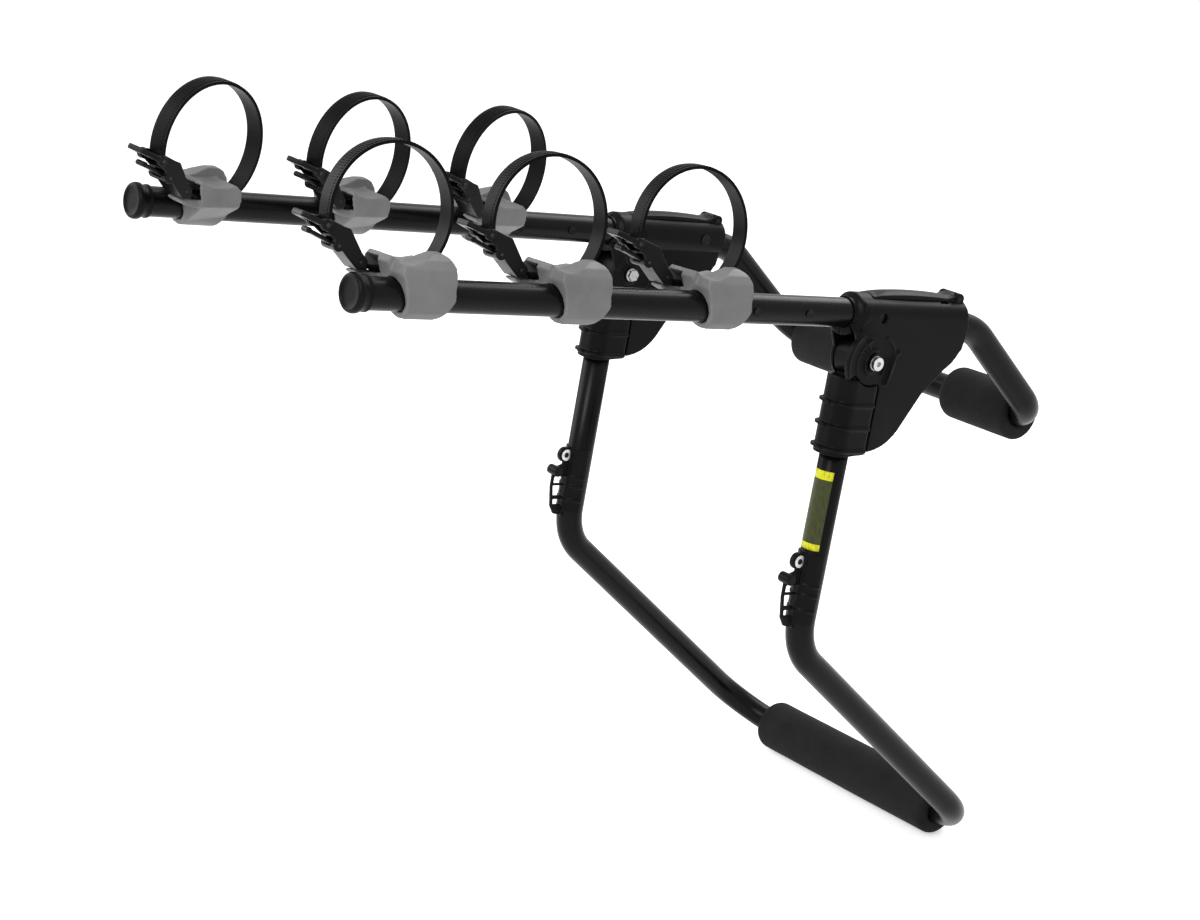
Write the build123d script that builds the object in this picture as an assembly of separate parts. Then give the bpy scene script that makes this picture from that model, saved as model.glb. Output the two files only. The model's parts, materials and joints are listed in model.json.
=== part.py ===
from build123d import *
from math import atan2, cos, degrees, hypot, radians, sin
import os

# Trunk mounted bike rack. X runs across the rack, -Y points along the carrying arms,
# +Y points to the car and Z is up. The origin is the middle of the axis about which
# the lower frame folds. Lengths are in millimetres and angles in degrees.

# Tubes and their places
tube_d = 28.6
tube_wall = 1.8
half_track = 187.0
arm_inset = 4.0
arm_tilt = 12.7
arm_height = 44.6
arm_reach = 586.0
arm_root = 58.0

# Lower frame, seen from the side
leg_lean = 12.6
leg_offset = 10.0
leg_top = 32.0
leg_length = 290.0
shin_length = 401.0
shin_angle = 48.2
knee_r = 60.0
foot_r = 70.0

# Upper frame, seen from the side
upper_pivot_back = 102.5
upper_root = 8.0
upper_neck_length = 62.5
upper_neck_angle = 24.3
upper_leg_length = 154.7
upper_leg_angle = 49.7
upper_neck_r = 60.0
upper_foot_r = 40.0

# Foam sleeves
foam_d = 56.0
foam_edge = 8.0
foam_gap = 0.15

# Hub: a split barrel over the arm with two cheeks below it
barrel_r = 20.5
barrel_front = 21.5
barrel_back = 132.0
lip_length = 6.0
lip_height = 1.4
cheek_gap = 14.8
cheek_wall = 3.7
cheek_reach = 132.0
cheek_corner = 3.0
cheek_floor_depth = 72.0
cheek_floor_wall = 3.5
pivot_boss_r = 23.0
pivot_boss_proud = 1.6
rim_r = 28.5
rim_wall = 2.0
fan_rib_count = 4
fan_rib_length = 9.0
fan_rib_wall = 2.2
fan_rib_step = 13.0
fan_rib_start = 112.0
upper_room_r = 17.0
upper_room_gap = 0.7
fit_gap = 0.05
touch_gap = 0.4
overrun = 40.0

# Screws and pins
pivot_bolt_r = 5.0
pivot_head_r = 6.6
pivot_head_h = 4.0
hex_socket_across = 6.0
hex_socket_depth = 2.6
washer_r = 9.0
washer_h = 1.4
upper_pin_r = 4.0
upper_pin_head_r = 6.0
upper_pin_head_h = 1.2
hub_screw_at = -12.8
hub_screw_r = 2.5
hub_screw_head_r = 4.2
hub_recess_r = 5.4
hub_recess_depth = 2.4
arm_rivet_r = 2.4
arm_rivet_head_r = 4.4
arm_rivet_head_h = 1.0

# Leg socket with its ribbed collar
tongue_r = 22.0
tongue_half = 14.4
collar_top = 18.0
collar_bottom = 97.0
collar_half = 19.5
collar_back = 24.0
collar_front_round = 15.0
collar_back_round = 5.0
collar_wall_gap = 1.0
rib_places = (39.0, 62.0, 84.5)
rib_thick = 3.2
rib_proud = 1.7
nib_length = 6.5
nib_half = 4.5
sector_r = 62.0
sector_half = 5.0
sector_sweep = 52.0
sector_quarter = 90.0
notch_r = 3.0
notch_count = 5
notch_step = 9.0

# Release paddle on the hub
paddle_front = 4.0
paddle_knuckle_back = 123.5
paddle_knuckle_up = 20.0
paddle_knuckle_r = 5.8
paddle_knuckle_half = 8.0
paddle_half = 12.5
paddle_r = 25.2
paddle_skin_gap = 0.4
paddle_pin_r = 2.5
paddle_ear_half = 13.0
paddle_lip = 3.5

# End cap of the arm
cap_r = 17.0
cap_length = 7.0
cap_edge = 2.0
cap_dish_r = 12.5
cap_dish_depth = 1.0
cap_plug_length = 16.0

# Ladder bracket on the front of each leg
ladder_top = 196.0
ladder_bottom = 268.0
ladder_wall = 3.2
ladder_half = 5.0
ladder_depth = 36.0
eyelet_at = 204.7
eyelet_out = 21.0
eyelet_r = 8.5
eyelet_screw_r = 3.0
eyelet_head_r = 5.6
eyelet_head_h = 1.8
bar_at = 222.6
bar_out = 30.5
bar_r = 5.6
bar_half = 8.0
window_inner = 17.6
window_places = (229.5, 239.5, 255.0)
window_lengths = (7.5, 11.5, 6.0)
rail_wall = 3.4
ladder_rib_thick = 3.0
ladder_rib_proud = 1.8

# How each clamp stands on the arm: its strap runs down the arm's inner side
clamp_inset = 29.0
clamp_lean = 3.7
clamp_splay = 8.8
splay_centre = 5.0

# Cradle, in its own frame: a runs outwards along the arm, n away from it
cradle_r = 19.7
cradle_bore_gap = 0.2
cradle_back = 31.0
cradle_front = 36.0
cradle_toe = 12.0
cradle_low = 17.0
cradle_crown = 40.0
cradle_outer = 20.0
cradle_inner = 43.0
channel_gap = 0.5
hood_half = 12.0
tongue_reach = 47.0
tongue_rise = 14.6
tongue_lane_half = 9.0

# Strap: an upright oval loop with one end in the saddle and one in the buckle
strap_w = 20.0
strap_t = 3.0
loop_a = 55.9
loop_n = 59.9
loop_centre_a = 18.8
loop_centre_n = 64.2
loop_front_angle = -10.0
loop_back_angle = 218.3
strap_bed = 17.0
strap_span = 72.0
strap_rise = 50.0

# Buckle body, ratchet lever and release tab
buckle_half = 13.0
buckle_slot_half = 10.6
buckle_slot_gap = 0.6
buckle_round = 2.0
body_span = 78.0
body_rise = 60.0
lever_pin_a = 79.0
lever_pin_n = 51.0
lever_pin_r = 2.0
lever_length = 22.0
lever_straight = 6.5
lever_angle = 20.0
lever_thick = 4.0
lever_arm_w = 3.2
lever_side_gap = 0.3
lever_tip_half = 10.0
lever_tip_w = 5.5
lever_eye_r = 4.6
tab_pin_a = 65.0
tab_pin_n = 34.5
tab_pin_r = 1.5
tab_eye_r = 3.1
tab_boss_r = 5.0
tab_half = 6.0
tab_side_gap = 0.4
tab_length = 27.0
tab_angle = 22.0
tab_thick = 2.8
tab_bead_r = 2.2
anchor_pin_a = 44.0
anchor_pin_n = 22.5
anchor_pin_r = 1.4
pin_proud = 0.8

# Outlines as shares of the sizes named beside them
cheek_outline_shares = (
    (-0.20, 0.33), (0.97, 0.12), (1.00, -0.01), (0.75, -0.235),
    (0.40, -0.555), (0.13, -0.70), (-0.045, -0.715), (0.068, -0.20), (-0.13, -0.02),
)
lower_foam_share = 0.738
upper_foam_shares = (0.294, 0.882)
station_shares = (0.3242, 0.6118, 0.8993)
arm_rivet_shares = (0.1365, 0.2509)
# Inner half of the cradle from the side and in section
saddle_side_shares = (
    (-0.50, -0.49), (-0.62, 0.05), (-0.64, 0.38), (-0.60, 0.58), (-0.42, 0.72), (-0.16, 0.66),
    (0.28, 0.66), (0.58, 0.73), (0.72, 0.81), (0.81, 0.65), (0.66, 0.30), (0.33, -0.49),
)
saddle_section_shares = (
    (0.09, -0.49), (-0.20, -0.42), (-0.80, 0.06), (-0.97, 0.20), (-1.00, 0.62), (-0.93, 0.80),
    (-0.79, 0.90), (0.09, 0.90),
)
# Outer half of the cradle with its ear
ear_side_shares = (
    (-0.58, -0.49), (-0.81, -0.28), (-0.94, 0.12), (-0.97, 0.45), (-0.94, 0.70), (-0.81, 0.86),
    (-0.59, 0.94), (-0.32, 0.92), (-0.10, 0.85), (0.16, 0.76), (0.42, 0.70), (0.77, 0.70),
    (0.84, 0.50), (0.61, 0.10), (0.39, -0.49),
)
ear_section_shares = (
    (-0.40, -0.45), (0.40, -0.48), (0.80, -0.30), (1.00, 0.00), (0.98, 0.38), (0.86, 0.62),
    (0.62, 0.80), (0.30, 0.91), (0.00, 0.95), (-0.30, 0.91), (-0.50, 0.50),
)
hood_shares = ((0.28, 0.36), (1.70, 0.36), (1.70, 0.71), (0.736, 0.71), (0.583, 0.64), (0.33, 0.575))
tongue_shares = ((0.34, 0.41), (0.34, 0.95), (0.98, 1.00), (1.00, 0.86), (0.85, 0.62), (0.64, 0.48))
# Strap inside the saddle, and inside the buckle
strap_back_shares = ((-0.264, 0.40), (-0.16, 0.34), (0.42, 0.34), (0.56, 0.43), (0.66, 0.47))
strap_front_shares = ((0.99, 0.97), (0.84, 0.84), (0.70, 0.68))
ladder_outline_shares = (
    (0.00, 0.30), (0.00, 0.62), (0.27, 0.62), (0.32, 0.90), (0.45, 0.93), (0.50, 0.93),
    (0.96, 0.72), (1.08, 0.42), (1.06, 0.28),
)
body_outline_shares = (
    (0.919, 0.692), (0.795, 0.842), (0.718, 0.817), (0.558, 0.50), (0.481, 0.40),
    (0.481, 0.258), (0.59, 0.258), (0.724, 0.425),
)
buckle_ear_shares = (
    (0.80, 0.60), (0.919, 0.69), (1.00, 0.77), (1.07, 0.82), (1.05, 0.92), (0.97, 0.93), (0.80, 0.845),
)

# Values worked out from the sizes above
tube_r = tube_d / 2
arm_x = half_track - arm_inset
arm_rivet_places = [share * arm_reach for share in arm_rivet_shares]
hub_half = cheek_gap + cheek_wall


def side_plane(x):
    """Plane across the rack at x whose own axes are Y and Z."""
    return Plane(origin=(x, 0, 0), x_dir=(0, 1, 0), z_dir=(1, 0, 0))


def slab(sketch, x, low, high):
    """Solid made by pulling a side view sketch from x + low to x + high."""
    return extrude(side_plane(x + low) * sketch, high - low)


def both_sides(sketch, x, half):
    """Solid that reaches the same distance to each side of x."""
    return slab(sketch, x, -half, half)


def polygon(points, corner=0):
    """Closed face through points, with every corner rounded if asked."""
    face = make_face(Polyline(*points, close=True))
    if corner > 0:
        face = fillet(face.vertices(), corner)
    return face


def disc(point, radius):
    """Circle in a side view sketch."""
    return Pos(point[0], point[1]) * Circle(radius)


def arm_point(along, up=0):
    """Side view place of a point by its distance along and above the arm."""
    tilt = radians(arm_tilt)
    return (
        -along * cos(tilt) + up * sin(tilt),
        arm_height + along * sin(tilt) + up * cos(tilt),
    )


def leg_point(down, out=0):
    """Side view place of a point by its distance down the leg and in front of it."""
    lean = radians(leg_lean)
    front = leg_offset + out
    return (
        -down * sin(lean) - front * cos(lean),
        -down * cos(lean) + front * sin(lean),
    )


def step_from(point, length, angle):
    """Point at a length and a downward angle from another, in the side view."""
    return (point[0] + length * cos(radians(angle)), point[1] - length * sin(radians(angle)))


upper_pivot = arm_point(-upper_pivot_back)
knee_point = leg_point(leg_length)
foot_point = step_from(knee_point, shin_length, shin_angle)
neck_point = step_from(upper_pivot, upper_neck_length, upper_neck_angle)
upper_foot_point = step_from(neck_point, upper_leg_length, upper_leg_angle)


def mirrored(solid):
    """The same piece on the left side."""
    return mirror(solid, about=Plane.YZ)


def arm_rod(radius, near, far, x=arm_x):
    """Round bar along the arm from one distance to another."""
    y, z = arm_point(near)
    tilt = radians(arm_tilt)
    start = Plane(origin=(x, y, z), z_dir=(0, -cos(tilt), sin(tilt)))
    return extrude(start * Circle(radius), far - near)


def cross_rod(point, radius, x, low, high):
    """Round bar across the rack through a side view point."""
    return slab(disc(point, radius), x, low, high)


def cross_pair(point, radius, x, inner, outer):
    """Two equal discs, one to each side of x."""
    return cross_rod(point, radius, x, inner, outer) + cross_rod(point, radius, x, -outer, -inner)


def swept_rod(path, radius):
    """Round bar along a path."""
    return sweep(Plane(origin=path @ 0, z_dir=path % 0) * Circle(radius), path=path)


def tube_along(path):
    """Hollow tube along a path."""
    return swept_rod(path, tube_r) - swept_rod(path, tube_r - tube_wall)


def u_path(side_points, radii):
    """Path down the right side, across and up the left side."""
    right = [(half_track, y, z) for y, z in side_points]
    left = [(-half_track, y, z) for y, z in reversed(side_points)]
    return FilletPolyline(*right, *left, radius=[*radii, *reversed(radii)])


def lower_path():
    """Middle line of the lower frame's tube."""
    return u_path([leg_point(leg_top), knee_point, foot_point], [knee_r, foot_r])


def upper_path():
    """Middle line of the upper frame's tube."""
    root = step_from(upper_pivot, -upper_root, upper_neck_angle)
    return u_path([root, neck_point, upper_foot_point], [upper_neck_r, upper_foot_r])


def lower_frame_tube():
    """Bent tube of the lower frame."""
    return tube_along(lower_path())


def upper_frame_tube():
    """Bent tube of the upper frame, cross drilled for its hinge pins."""
    tube = tube_along(upper_path())
    for x in (half_track, -half_track):
        tube -= cross_rod(upper_pivot, upper_pin_r + fit_gap, x, -tube_d, tube_d)
    return tube


def foam_sleeve(point, low, high, path):
    """Foam sleeve on a cross tube, with rounded rims and the tube's own bore."""
    sleeve = slab(disc(point, foam_d / 2), 0, low, high)
    rims = sleeve.edges().filter_by(GeomType.CIRCLE)
    sleeve = fillet(rims, foam_edge)
    return sleeve - swept_rod(path, tube_r + foam_gap)


def lower_foam():
    """Long foam sleeve between the feet of the lower frame."""
    half = lower_foam_share * half_track
    return foam_sleeve(foot_point, -half, half, lower_path())


def upper_foam(side):
    """Short foam sleeve at one end of the upper cross tube."""
    low, high = sorted(side * share * half_track for share in upper_foam_shares)
    return foam_sleeve(upper_foot_point, low, high, upper_path())


def arm_tube():
    """Straight carrying arm, drilled for its rivets and its hub screw."""
    tube = arm_rod(tube_r, -arm_root, arm_reach - cap_length)
    tube -= arm_rod(tube_r - tube_wall, -arm_root, arm_reach - cap_length)
    for place in arm_rivet_places:
        tube -= cross_rod(arm_point(place), arm_rivet_r, arm_x, -tube_d, tube_d)
    return tube - cross_rod(arm_point(hub_screw_at), hub_screw_r + fit_gap, arm_x, -tube_d, tube_d)


def arm_end_cap():
    """Plastic plug with a wider dished head."""
    head = arm_rod(cap_r, arm_reach - cap_length, arm_reach)
    head = fillet(head.edges().filter_by(GeomType.CIRCLE), cap_edge)
    head -= arm_rod(cap_dish_r, arm_reach - cap_dish_depth, arm_reach + cap_length)
    plug_r = tube_r - tube_wall - fit_gap
    return head + arm_rod(plug_r, arm_reach - cap_length - cap_plug_length, arm_reach - cap_length)


def arm_rivets():
    """Domed rivets across the arm near the hub."""
    rivets = []
    for place in arm_rivet_places:
        point = arm_point(place)
        reach = tube_r + arm_rivet_head_h
        rivet = cross_rod(point, arm_rivet_r - fit_gap, arm_x, -reach, reach)
        for side in (1, -1):
            low, high = sorted((side * (tube_r - tube_wall / 4), side * reach))
            rivet += cross_rod(point, arm_rivet_head_r, arm_x, low, high)
        rivets.append(rivet - arm_rod_shell())
    return rivets


def arm_rod_shell():
    """The wall of the arm tube near the hub, where rivet heads sit on it."""
    near, far = -arm_root, max(arm_rivet_places) + tube_d
    return arm_rod(tube_r, near, far) - arm_rod(tube_r - tube_wall, near, far) - rivet_holes()


def rivet_holes():
    """The drilled holes for the rivets."""
    holes = Part()
    for place in arm_rivet_places:
        holes += cross_rod(arm_point(place), arm_rivet_r, arm_x, -tube_d, tube_d)
    return holes


def cheek_face():
    """Side outline of the hub below its barrel."""
    points = [(a * cheek_reach, b * cheek_reach) for a, b in cheek_outline_shares]
    return fillet(make_face(Polyline(*points, close=True)).vertices(), cheek_corner)


def cheek_plate():
    """One outline for both cheeks with the round boss of the pivot."""
    return cheek_face() + disc((0, 0), pivot_boss_r)


def upper_room():
    """Room between the cheeks in which the upper frame swings."""
    clear = tube_r + upper_room_gap
    up = radians(upper_neck_angle)
    top = (upper_pivot[0] + clear * sin(up), upper_pivot[1] + clear * cos(up))
    far = step_from(top, cheek_reach, upper_neck_angle)
    left = upper_pivot[0] - upper_room_r
    swing = polygon([top, far, (far[0], -cheek_reach), (left, -cheek_reach), (left, upper_pivot[1])])
    return both_sides(swing + disc(upper_pivot, upper_room_r), half_track, cheek_gap)


def hub_body():
    """Whole moulded hub before it is split along its middle."""
    x = half_track
    barrel = arm_rod(barrel_r, -barrel_back, barrel_front)
    barrel += arm_rod(barrel_r + lip_height, barrel_front - lip_length, barrel_front)
    cheeks = both_sides(cheek_plate(), x, hub_half)
    gap = both_sides(Rectangle(4 * cheek_reach, 4 * cheek_reach), x, cheek_gap)
    floor_zone = Pos(0, -cheek_floor_depth - cheek_reach / 2) * Rectangle(4 * cheek_reach, cheek_reach)
    floor = both_sides((cheek_face() - offset(cheek_face(), -cheek_floor_wall)) & floor_zone, x, hub_half)
    hub = barrel + (cheeks - gap) + floor
    hub += hub_trim(x)
    hub -= arm_rod(tube_r + fit_gap, -arm_root - touch_gap, barrel_front + overrun)
    return hub - upper_room() - hub_bores(x)


def hub_trim(x):
    """Raised pivot boss, curved rim behind it and the short ribs in front of it."""
    outer = hub_half + pivot_boss_proud
    trim = cross_pair((0, 0), pivot_head_r + 2 * rim_wall, x, cheek_gap, outer)
    ring = disc((0, 0), rim_r) - disc((0, 0), rim_r - rim_wall)
    window = Pos(rim_r, 0) * Rectangle(2 * rim_r, rim_r * 1.5)
    trim += slab(ring & window, x, hub_half, outer) + slab(ring & window, x, -outer, -hub_half)
    for number in range(fan_rib_count):
        turn = fan_rib_start + number * fan_rib_step
        centre = pivot_boss_r - fan_rib_length / 2
        rib = Rot(0, 0, turn) * Pos(centre, 0) * Rectangle(fan_rib_length, fan_rib_wall)
        trim += slab(rib, x, hub_half, outer) + slab(rib, x, -outer, -hub_half)
    return trim + paddle_ears(x)


def paddle_ears(x):
    """Two ears at the back of the barrel that hold the paddle's pin."""
    point = arm_point(-paddle_knuckle_back, paddle_knuckle_up)
    inner = paddle_knuckle_half + touch_gap
    return cross_pair(point, paddle_knuckle_r, x - arm_inset, inner, paddle_ear_half)


def hub_bores(x):
    """Holes and pockets of the hub."""
    knuckle = arm_point(-paddle_knuckle_back, paddle_knuckle_up)
    cuts = cross_rod((0, 0), pivot_bolt_r + fit_gap, x, -overrun, overrun)
    pin_end = hub_half - cheek_wall / 2 + touch_gap
    cuts += cross_rod(upper_pivot, upper_pin_r + fit_gap, x, -overrun, pin_end)
    cuts += cross_rod(knuckle, paddle_pin_r + fit_gap, arm_x, -overrun, overrun)
    pocket_r = paddle_knuckle_r + touch_gap
    pocket_half = paddle_knuckle_half + touch_gap
    cuts += cross_rod(knuckle, pocket_r, arm_x, -pocket_half, pocket_half)
    screw = arm_point(hub_screw_at)
    cuts += cross_rod(screw, hub_screw_r + fit_gap, arm_x, -overrun, overrun)
    deep = barrel_r - hub_recess_depth
    return cuts + cross_pair(screw, hub_recess_r, arm_x, deep, overrun)


def hub_cover(outer):
    """One half of the hub, split on the middle plane of the arm."""
    half = Rectangle(6 * cheek_reach, 6 * cheek_reach)
    keep = slab(half, arm_x, 0, overrun) if outer else slab(half, arm_x, -overrun, 0)
    return hub_body() & keep


def pivot_bolt():
    """Hub bolt with a hexagon socket, its washer and its nut."""
    x = half_track
    face = hub_half + pivot_boss_proud
    bolt = cross_rod((0, 0), pivot_bolt_r, x, -face - washer_h, face + washer_h)
    bolt += cross_rod((0, 0), washer_r, x, face, face + washer_h)
    head = cross_rod((0, 0), pivot_head_r, x, face + washer_h, face + washer_h + pivot_head_h)
    top = face + washer_h + pivot_head_h
    socket = slab(RegularPolygon(hex_socket_across / 2, 6), x, top - hex_socket_depth, top + overrun)
    nut = slab(RegularPolygon(pivot_head_r, 6), x, -face - washer_h - pivot_head_h, -face - washer_h)
    washer = cross_rod((0, 0), washer_r, x, -face - washer_h, -face)
    return bolt + head - socket + nut + washer


def hub_pins():
    """Hinge pin of the upper frame and the small pin of the paddle."""
    x = half_track
    # The head sits on the barrel, and the other end stops inside the outer cheek
    inner = -barrel_r - arm_inset
    upper = cross_rod(upper_pivot, upper_pin_r, x, inner, hub_half - cheek_wall / 2)
    upper += cross_rod(upper_pivot, upper_pin_head_r, x, inner - upper_pin_head_h, inner)
    small = cross_rod(
        arm_point(-paddle_knuckle_back, paddle_knuckle_up),
        paddle_pin_r, arm_x, -paddle_ear_half, paddle_ear_half,
    )
    return [upper, small]


def hub_screw():
    """Screw that holds the arm in the barrel, with a sunk head at each side."""
    point = arm_point(hub_screw_at)
    seat = barrel_r - hub_recess_depth
    screw = cross_rod(point, hub_screw_r, arm_x, -seat, seat)
    head_h = hub_recess_depth / 2
    return screw + cross_pair(point, hub_screw_head_r, arm_x, seat, seat + head_h)


def paddle():
    """Release paddle: a crowned lens on top of the barrel, hinged at its back."""
    knuckle = arm_point(-paddle_knuckle_back, paddle_knuckle_up)
    front = arm_point(-paddle_front, barrel_r)
    middle = arm_point(-(paddle_front + paddle_knuckle_back) / 2, paddle_r + paddle_lip)
    back = arm_point(-paddle_knuckle_back, paddle_knuckle_up + paddle_knuckle_r)
    low_back = arm_point(-paddle_knuckle_back, 0)
    low_front = arm_point(-paddle_front - paddle_lip, 0)
    outline = make_face([
        ThreePointArc(front, middle, back),
        Line(back, low_back),
        Line(low_back, low_front),
        Line(low_front, front),
    ])
    blade = both_sides(outline, arm_x, paddle_half)
    blade &= arm_rod(paddle_r, -barrel_back, barrel_front)
    blade -= arm_rod(barrel_r + paddle_skin_gap, -barrel_back - overrun, barrel_front)
    ear_room = disc(knuckle, paddle_knuckle_r + touch_gap)
    ear_inner = paddle_knuckle_half - touch_gap / 2
    blade -= slab(ear_room, arm_x, ear_inner, overrun) + slab(ear_room, arm_x, -overrun, -ear_inner)
    blade += cross_rod(knuckle, paddle_knuckle_r, arm_x, -ear_inner, ear_inner)
    return blade - cross_rod(knuckle, paddle_pin_r + fit_gap, arm_x, -overrun, overrun)


def leg_bar(section, top, bottom):
    """Prism along the leg from one depth to another; section axes are X and forwards."""
    y, z = leg_point(bottom)
    lean = radians(leg_lean)
    start = Plane(origin=(half_track, y, z), x_dir=(1, 0, 0), z_dir=(0, sin(lean), cos(lean)))
    return extrude(start * section, bottom - top)


def collar_section(grow=0):
    """Cross section of the collar: round in front and squarer behind."""
    depth = collar_half + collar_back
    # The section's own Y points backwards
    box = Pos(0, (collar_back - collar_half) / 2) * Rectangle(2 * (collar_half + grow), depth + 2 * grow)
    corners = box.vertices().sort_by(Axis.Y)
    face = fillet(corners[:2], collar_front_round)
    back = face.vertices().sort_by(Axis.Y)[-2:]
    return fillet(back, collar_back_round)


def leg_socket():
    """Socket of the leg: pivot tongue, ribbed collar and notched sector."""
    x = half_track
    collar = leg_bar(collar_section(), collar_top, collar_bottom)
    for place in rib_places:
        rib = Pos(0, -rib_proud) * collar_section(rib_proud)
        collar += leg_bar(rib, place - rib_thick / 2, place + rib_thick / 2)
        collar += collar_nib(place)
    rim = cheek_room(x)
    socket = collar - rim
    socket += both_sides(disc((0, 0), tongue_r), x, tongue_half)
    neck = polygon([leg_point(0, -leg_offset), leg_point(collar_top + tongue_r, collar_half / 2),
                    leg_point(collar_top + tongue_r, -collar_back)])
    socket += both_sides(neck, x, tongue_half)
    socket += notched_sector(x)
    socket -= leg_bar(Circle(tube_r + fit_gap), leg_top, collar_bottom + overrun)
    return socket - cross_rod((0, 0), pivot_bolt_r + fit_gap, x, -overrun, overrun)


def collar_nib(place):
    """Small tongue that stands out at the front of a collar rib."""
    face = polygon([
        leg_point(place - rib_thick / 2, collar_half - rib_thick),
        leg_point(place - rib_thick / 2, collar_half + nib_length),
        leg_point(place + rib_thick / 2, collar_half + nib_length),
        leg_point(place + rib_thick / 2, collar_half - rib_thick),
    ])
    return both_sides(face, half_track, nib_half)


def cheek_room(x):
    """Room that the hub's cheeks and boss need when the socket turns under them."""
    room = offset(cheek_face(), collar_wall_gap) + disc((0, 0), pivot_boss_r + collar_wall_gap)
    return slab(room, x, tongue_half, overrun) + slab(room, x, -overrun, -tongue_half)


def notched_sector(x):
    """Thin sector behind the collar whose rim notches set the frame's angle."""
    start = -leg_lean - sector_quarter
    end = radians(start + sector_sweep)
    sector = make_face([
        CenterArc((0, 0), sector_r, start, sector_sweep),
        Line((sector_r * cos(end), sector_r * sin(end)), (0, 0)),
        Line((0, 0), (sector_r * cos(radians(start)), sector_r * sin(radians(start)))),
    ])
    for number in range(notch_count):
        angle = radians(start + sector_sweep - (number + 0.5) * notch_step)
        sector -= disc((sector_r * cos(angle), sector_r * sin(angle)), notch_r)
    return both_sides(sector, x, sector_half)


def ladder_bracket():
    """Moulded strap ladder clipped round the front of the leg."""
    x = half_track
    points = [
        leg_point(ladder_top + a * (ladder_bottom - ladder_top), b * ladder_depth)
        for a, b in ladder_outline_shares
    ]
    plate = both_sides(polygon(points), x, ladder_half)
    saddle = leg_bar(Circle(tube_r + ladder_wall), ladder_top, ladder_bottom)
    front = Pos(0, -tube_d / 2) * Rectangle(2 * tube_d, tube_d)
    saddle &= leg_bar(front, ladder_top, ladder_bottom)
    for place in window_places:
        rib = leg_bar(Circle(tube_r + ladder_wall + ladder_rib_proud), place - ladder_rib_thick, place)
        saddle += rib & leg_bar(front, ladder_top, ladder_bottom)
    plate += cross_rod(leg_point(eyelet_at, eyelet_out), eyelet_r, x, -ladder_half, ladder_half)
    plate += cross_rod(leg_point(bar_at, bar_out), bar_r, x, -bar_half, bar_half)
    plate = plate + saddle - ladder_windows(x)
    eyelet = leg_point(eyelet_at, eyelet_out)
    plate -= cross_rod(eyelet, eyelet_screw_r + fit_gap, x, -overrun, overrun)
    plate -= cross_pair(eyelet, eyelet_head_r + touch_gap, x, ladder_half, overrun)
    return plate - swept_rod(lower_path(), tube_r + foam_gap)


def rail_inner(place):
    """Inner face of the ladder's rail at a depth down the leg."""
    run = ladder_bottom - ladder_top
    top, low = ladder_outline_shares[5], ladder_outline_shares[6]
    share = ((place - ladder_top) / run - top[0]) / (low[0] - top[0])
    return ladder_depth * (top[1] + share * (low[1] - top[1])) - rail_wall


def ladder_windows(x):
    """Slots between the rungs of the ladder."""
    cuts = Part()
    for place, length in zip(window_places, window_lengths):
        cuts += both_sides(polygon([
            leg_point(place, window_inner),
            leg_point(place, rail_inner(place)),
            leg_point(place + length, rail_inner(place + length)),
            leg_point(place + length, window_inner),
        ]), x, overrun)
    return cuts


def ladder_screw():
    """Screw through the ladder's eyelet with a ring shaped head at each side."""
    point = leg_point(eyelet_at, eyelet_out)
    outer = ladder_half + eyelet_head_h
    screw = cross_rod(point, eyelet_screw_r, half_track, -ladder_half, ladder_half)
    screw += cross_pair(point, eyelet_head_r, half_track, ladder_half, outer)
    dimple = cross_pair(point, eyelet_screw_r, half_track, outer - eyelet_head_h / 2, overrun)
    return screw - dimple


# Clamp pieces are drawn in the clamp's own side view: a outwards along the arm, n upwards
clamp_plane = Plane(origin=(0, 0, 0), x_dir=(0, -1, 0), z_dir=(-1, 0, 0))


def clamp_slab(sketch, half):
    """Solid of a clamp side view sketch, the same distance to each side."""
    return extrude(clamp_plane * sketch, half, both=True)


def clamp_rod(point, radius, half):
    """Pin across the clamp."""
    return clamp_slab(disc(point, radius), half)


def arm_frame(station):
    """Frame of a station on the right arm: X across, Y back along the arm."""
    y, z = arm_point(station_shares[station] * arm_reach)
    tilt = radians(arm_tilt)
    plane = Plane(origin=(arm_x, y, z), x_dir=(1, 0, 0), z_dir=(0, sin(tilt), cos(tilt)))
    return plane.location


def clamp_turn(inset=0):
    """How a clamp leans, splays and stands beside the arm."""
    swing = Rot(0, 0, -clamp_splay) * Pos(-inset, splay_centre, 0)
    return Rot(0, -clamp_lean, 0) * Pos(0, -splay_centre, 0) * swing


def share_points(shares, along, up):
    """Points from shares of a length and a height."""
    return [(a * along, b * up) for a, b in shares]


def loop_point(angle):
    """Point of the strap's oval loop at an angle."""
    turn = radians(angle)
    return (loop_centre_a + loop_a * cos(turn), loop_centre_n + loop_n * sin(turn))


def band(points, thick):
    """Side view of a bent strip through points, with round bends."""
    face = Sketch()
    for (a1, n1), (a2, n2) in zip(points, points[1:]):
        strip = Rectangle(hypot(a2 - a1, n2 - n1), thick)
        turn = degrees(atan2(n2 - n1, a2 - a1))
        face += Pos((a1 + a2) / 2, (n1 + n2) / 2) * Rot(0, 0, turn) * strip
    for point in points[1:-1]:
        face += disc(point, thick / 2)
    return face


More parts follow.
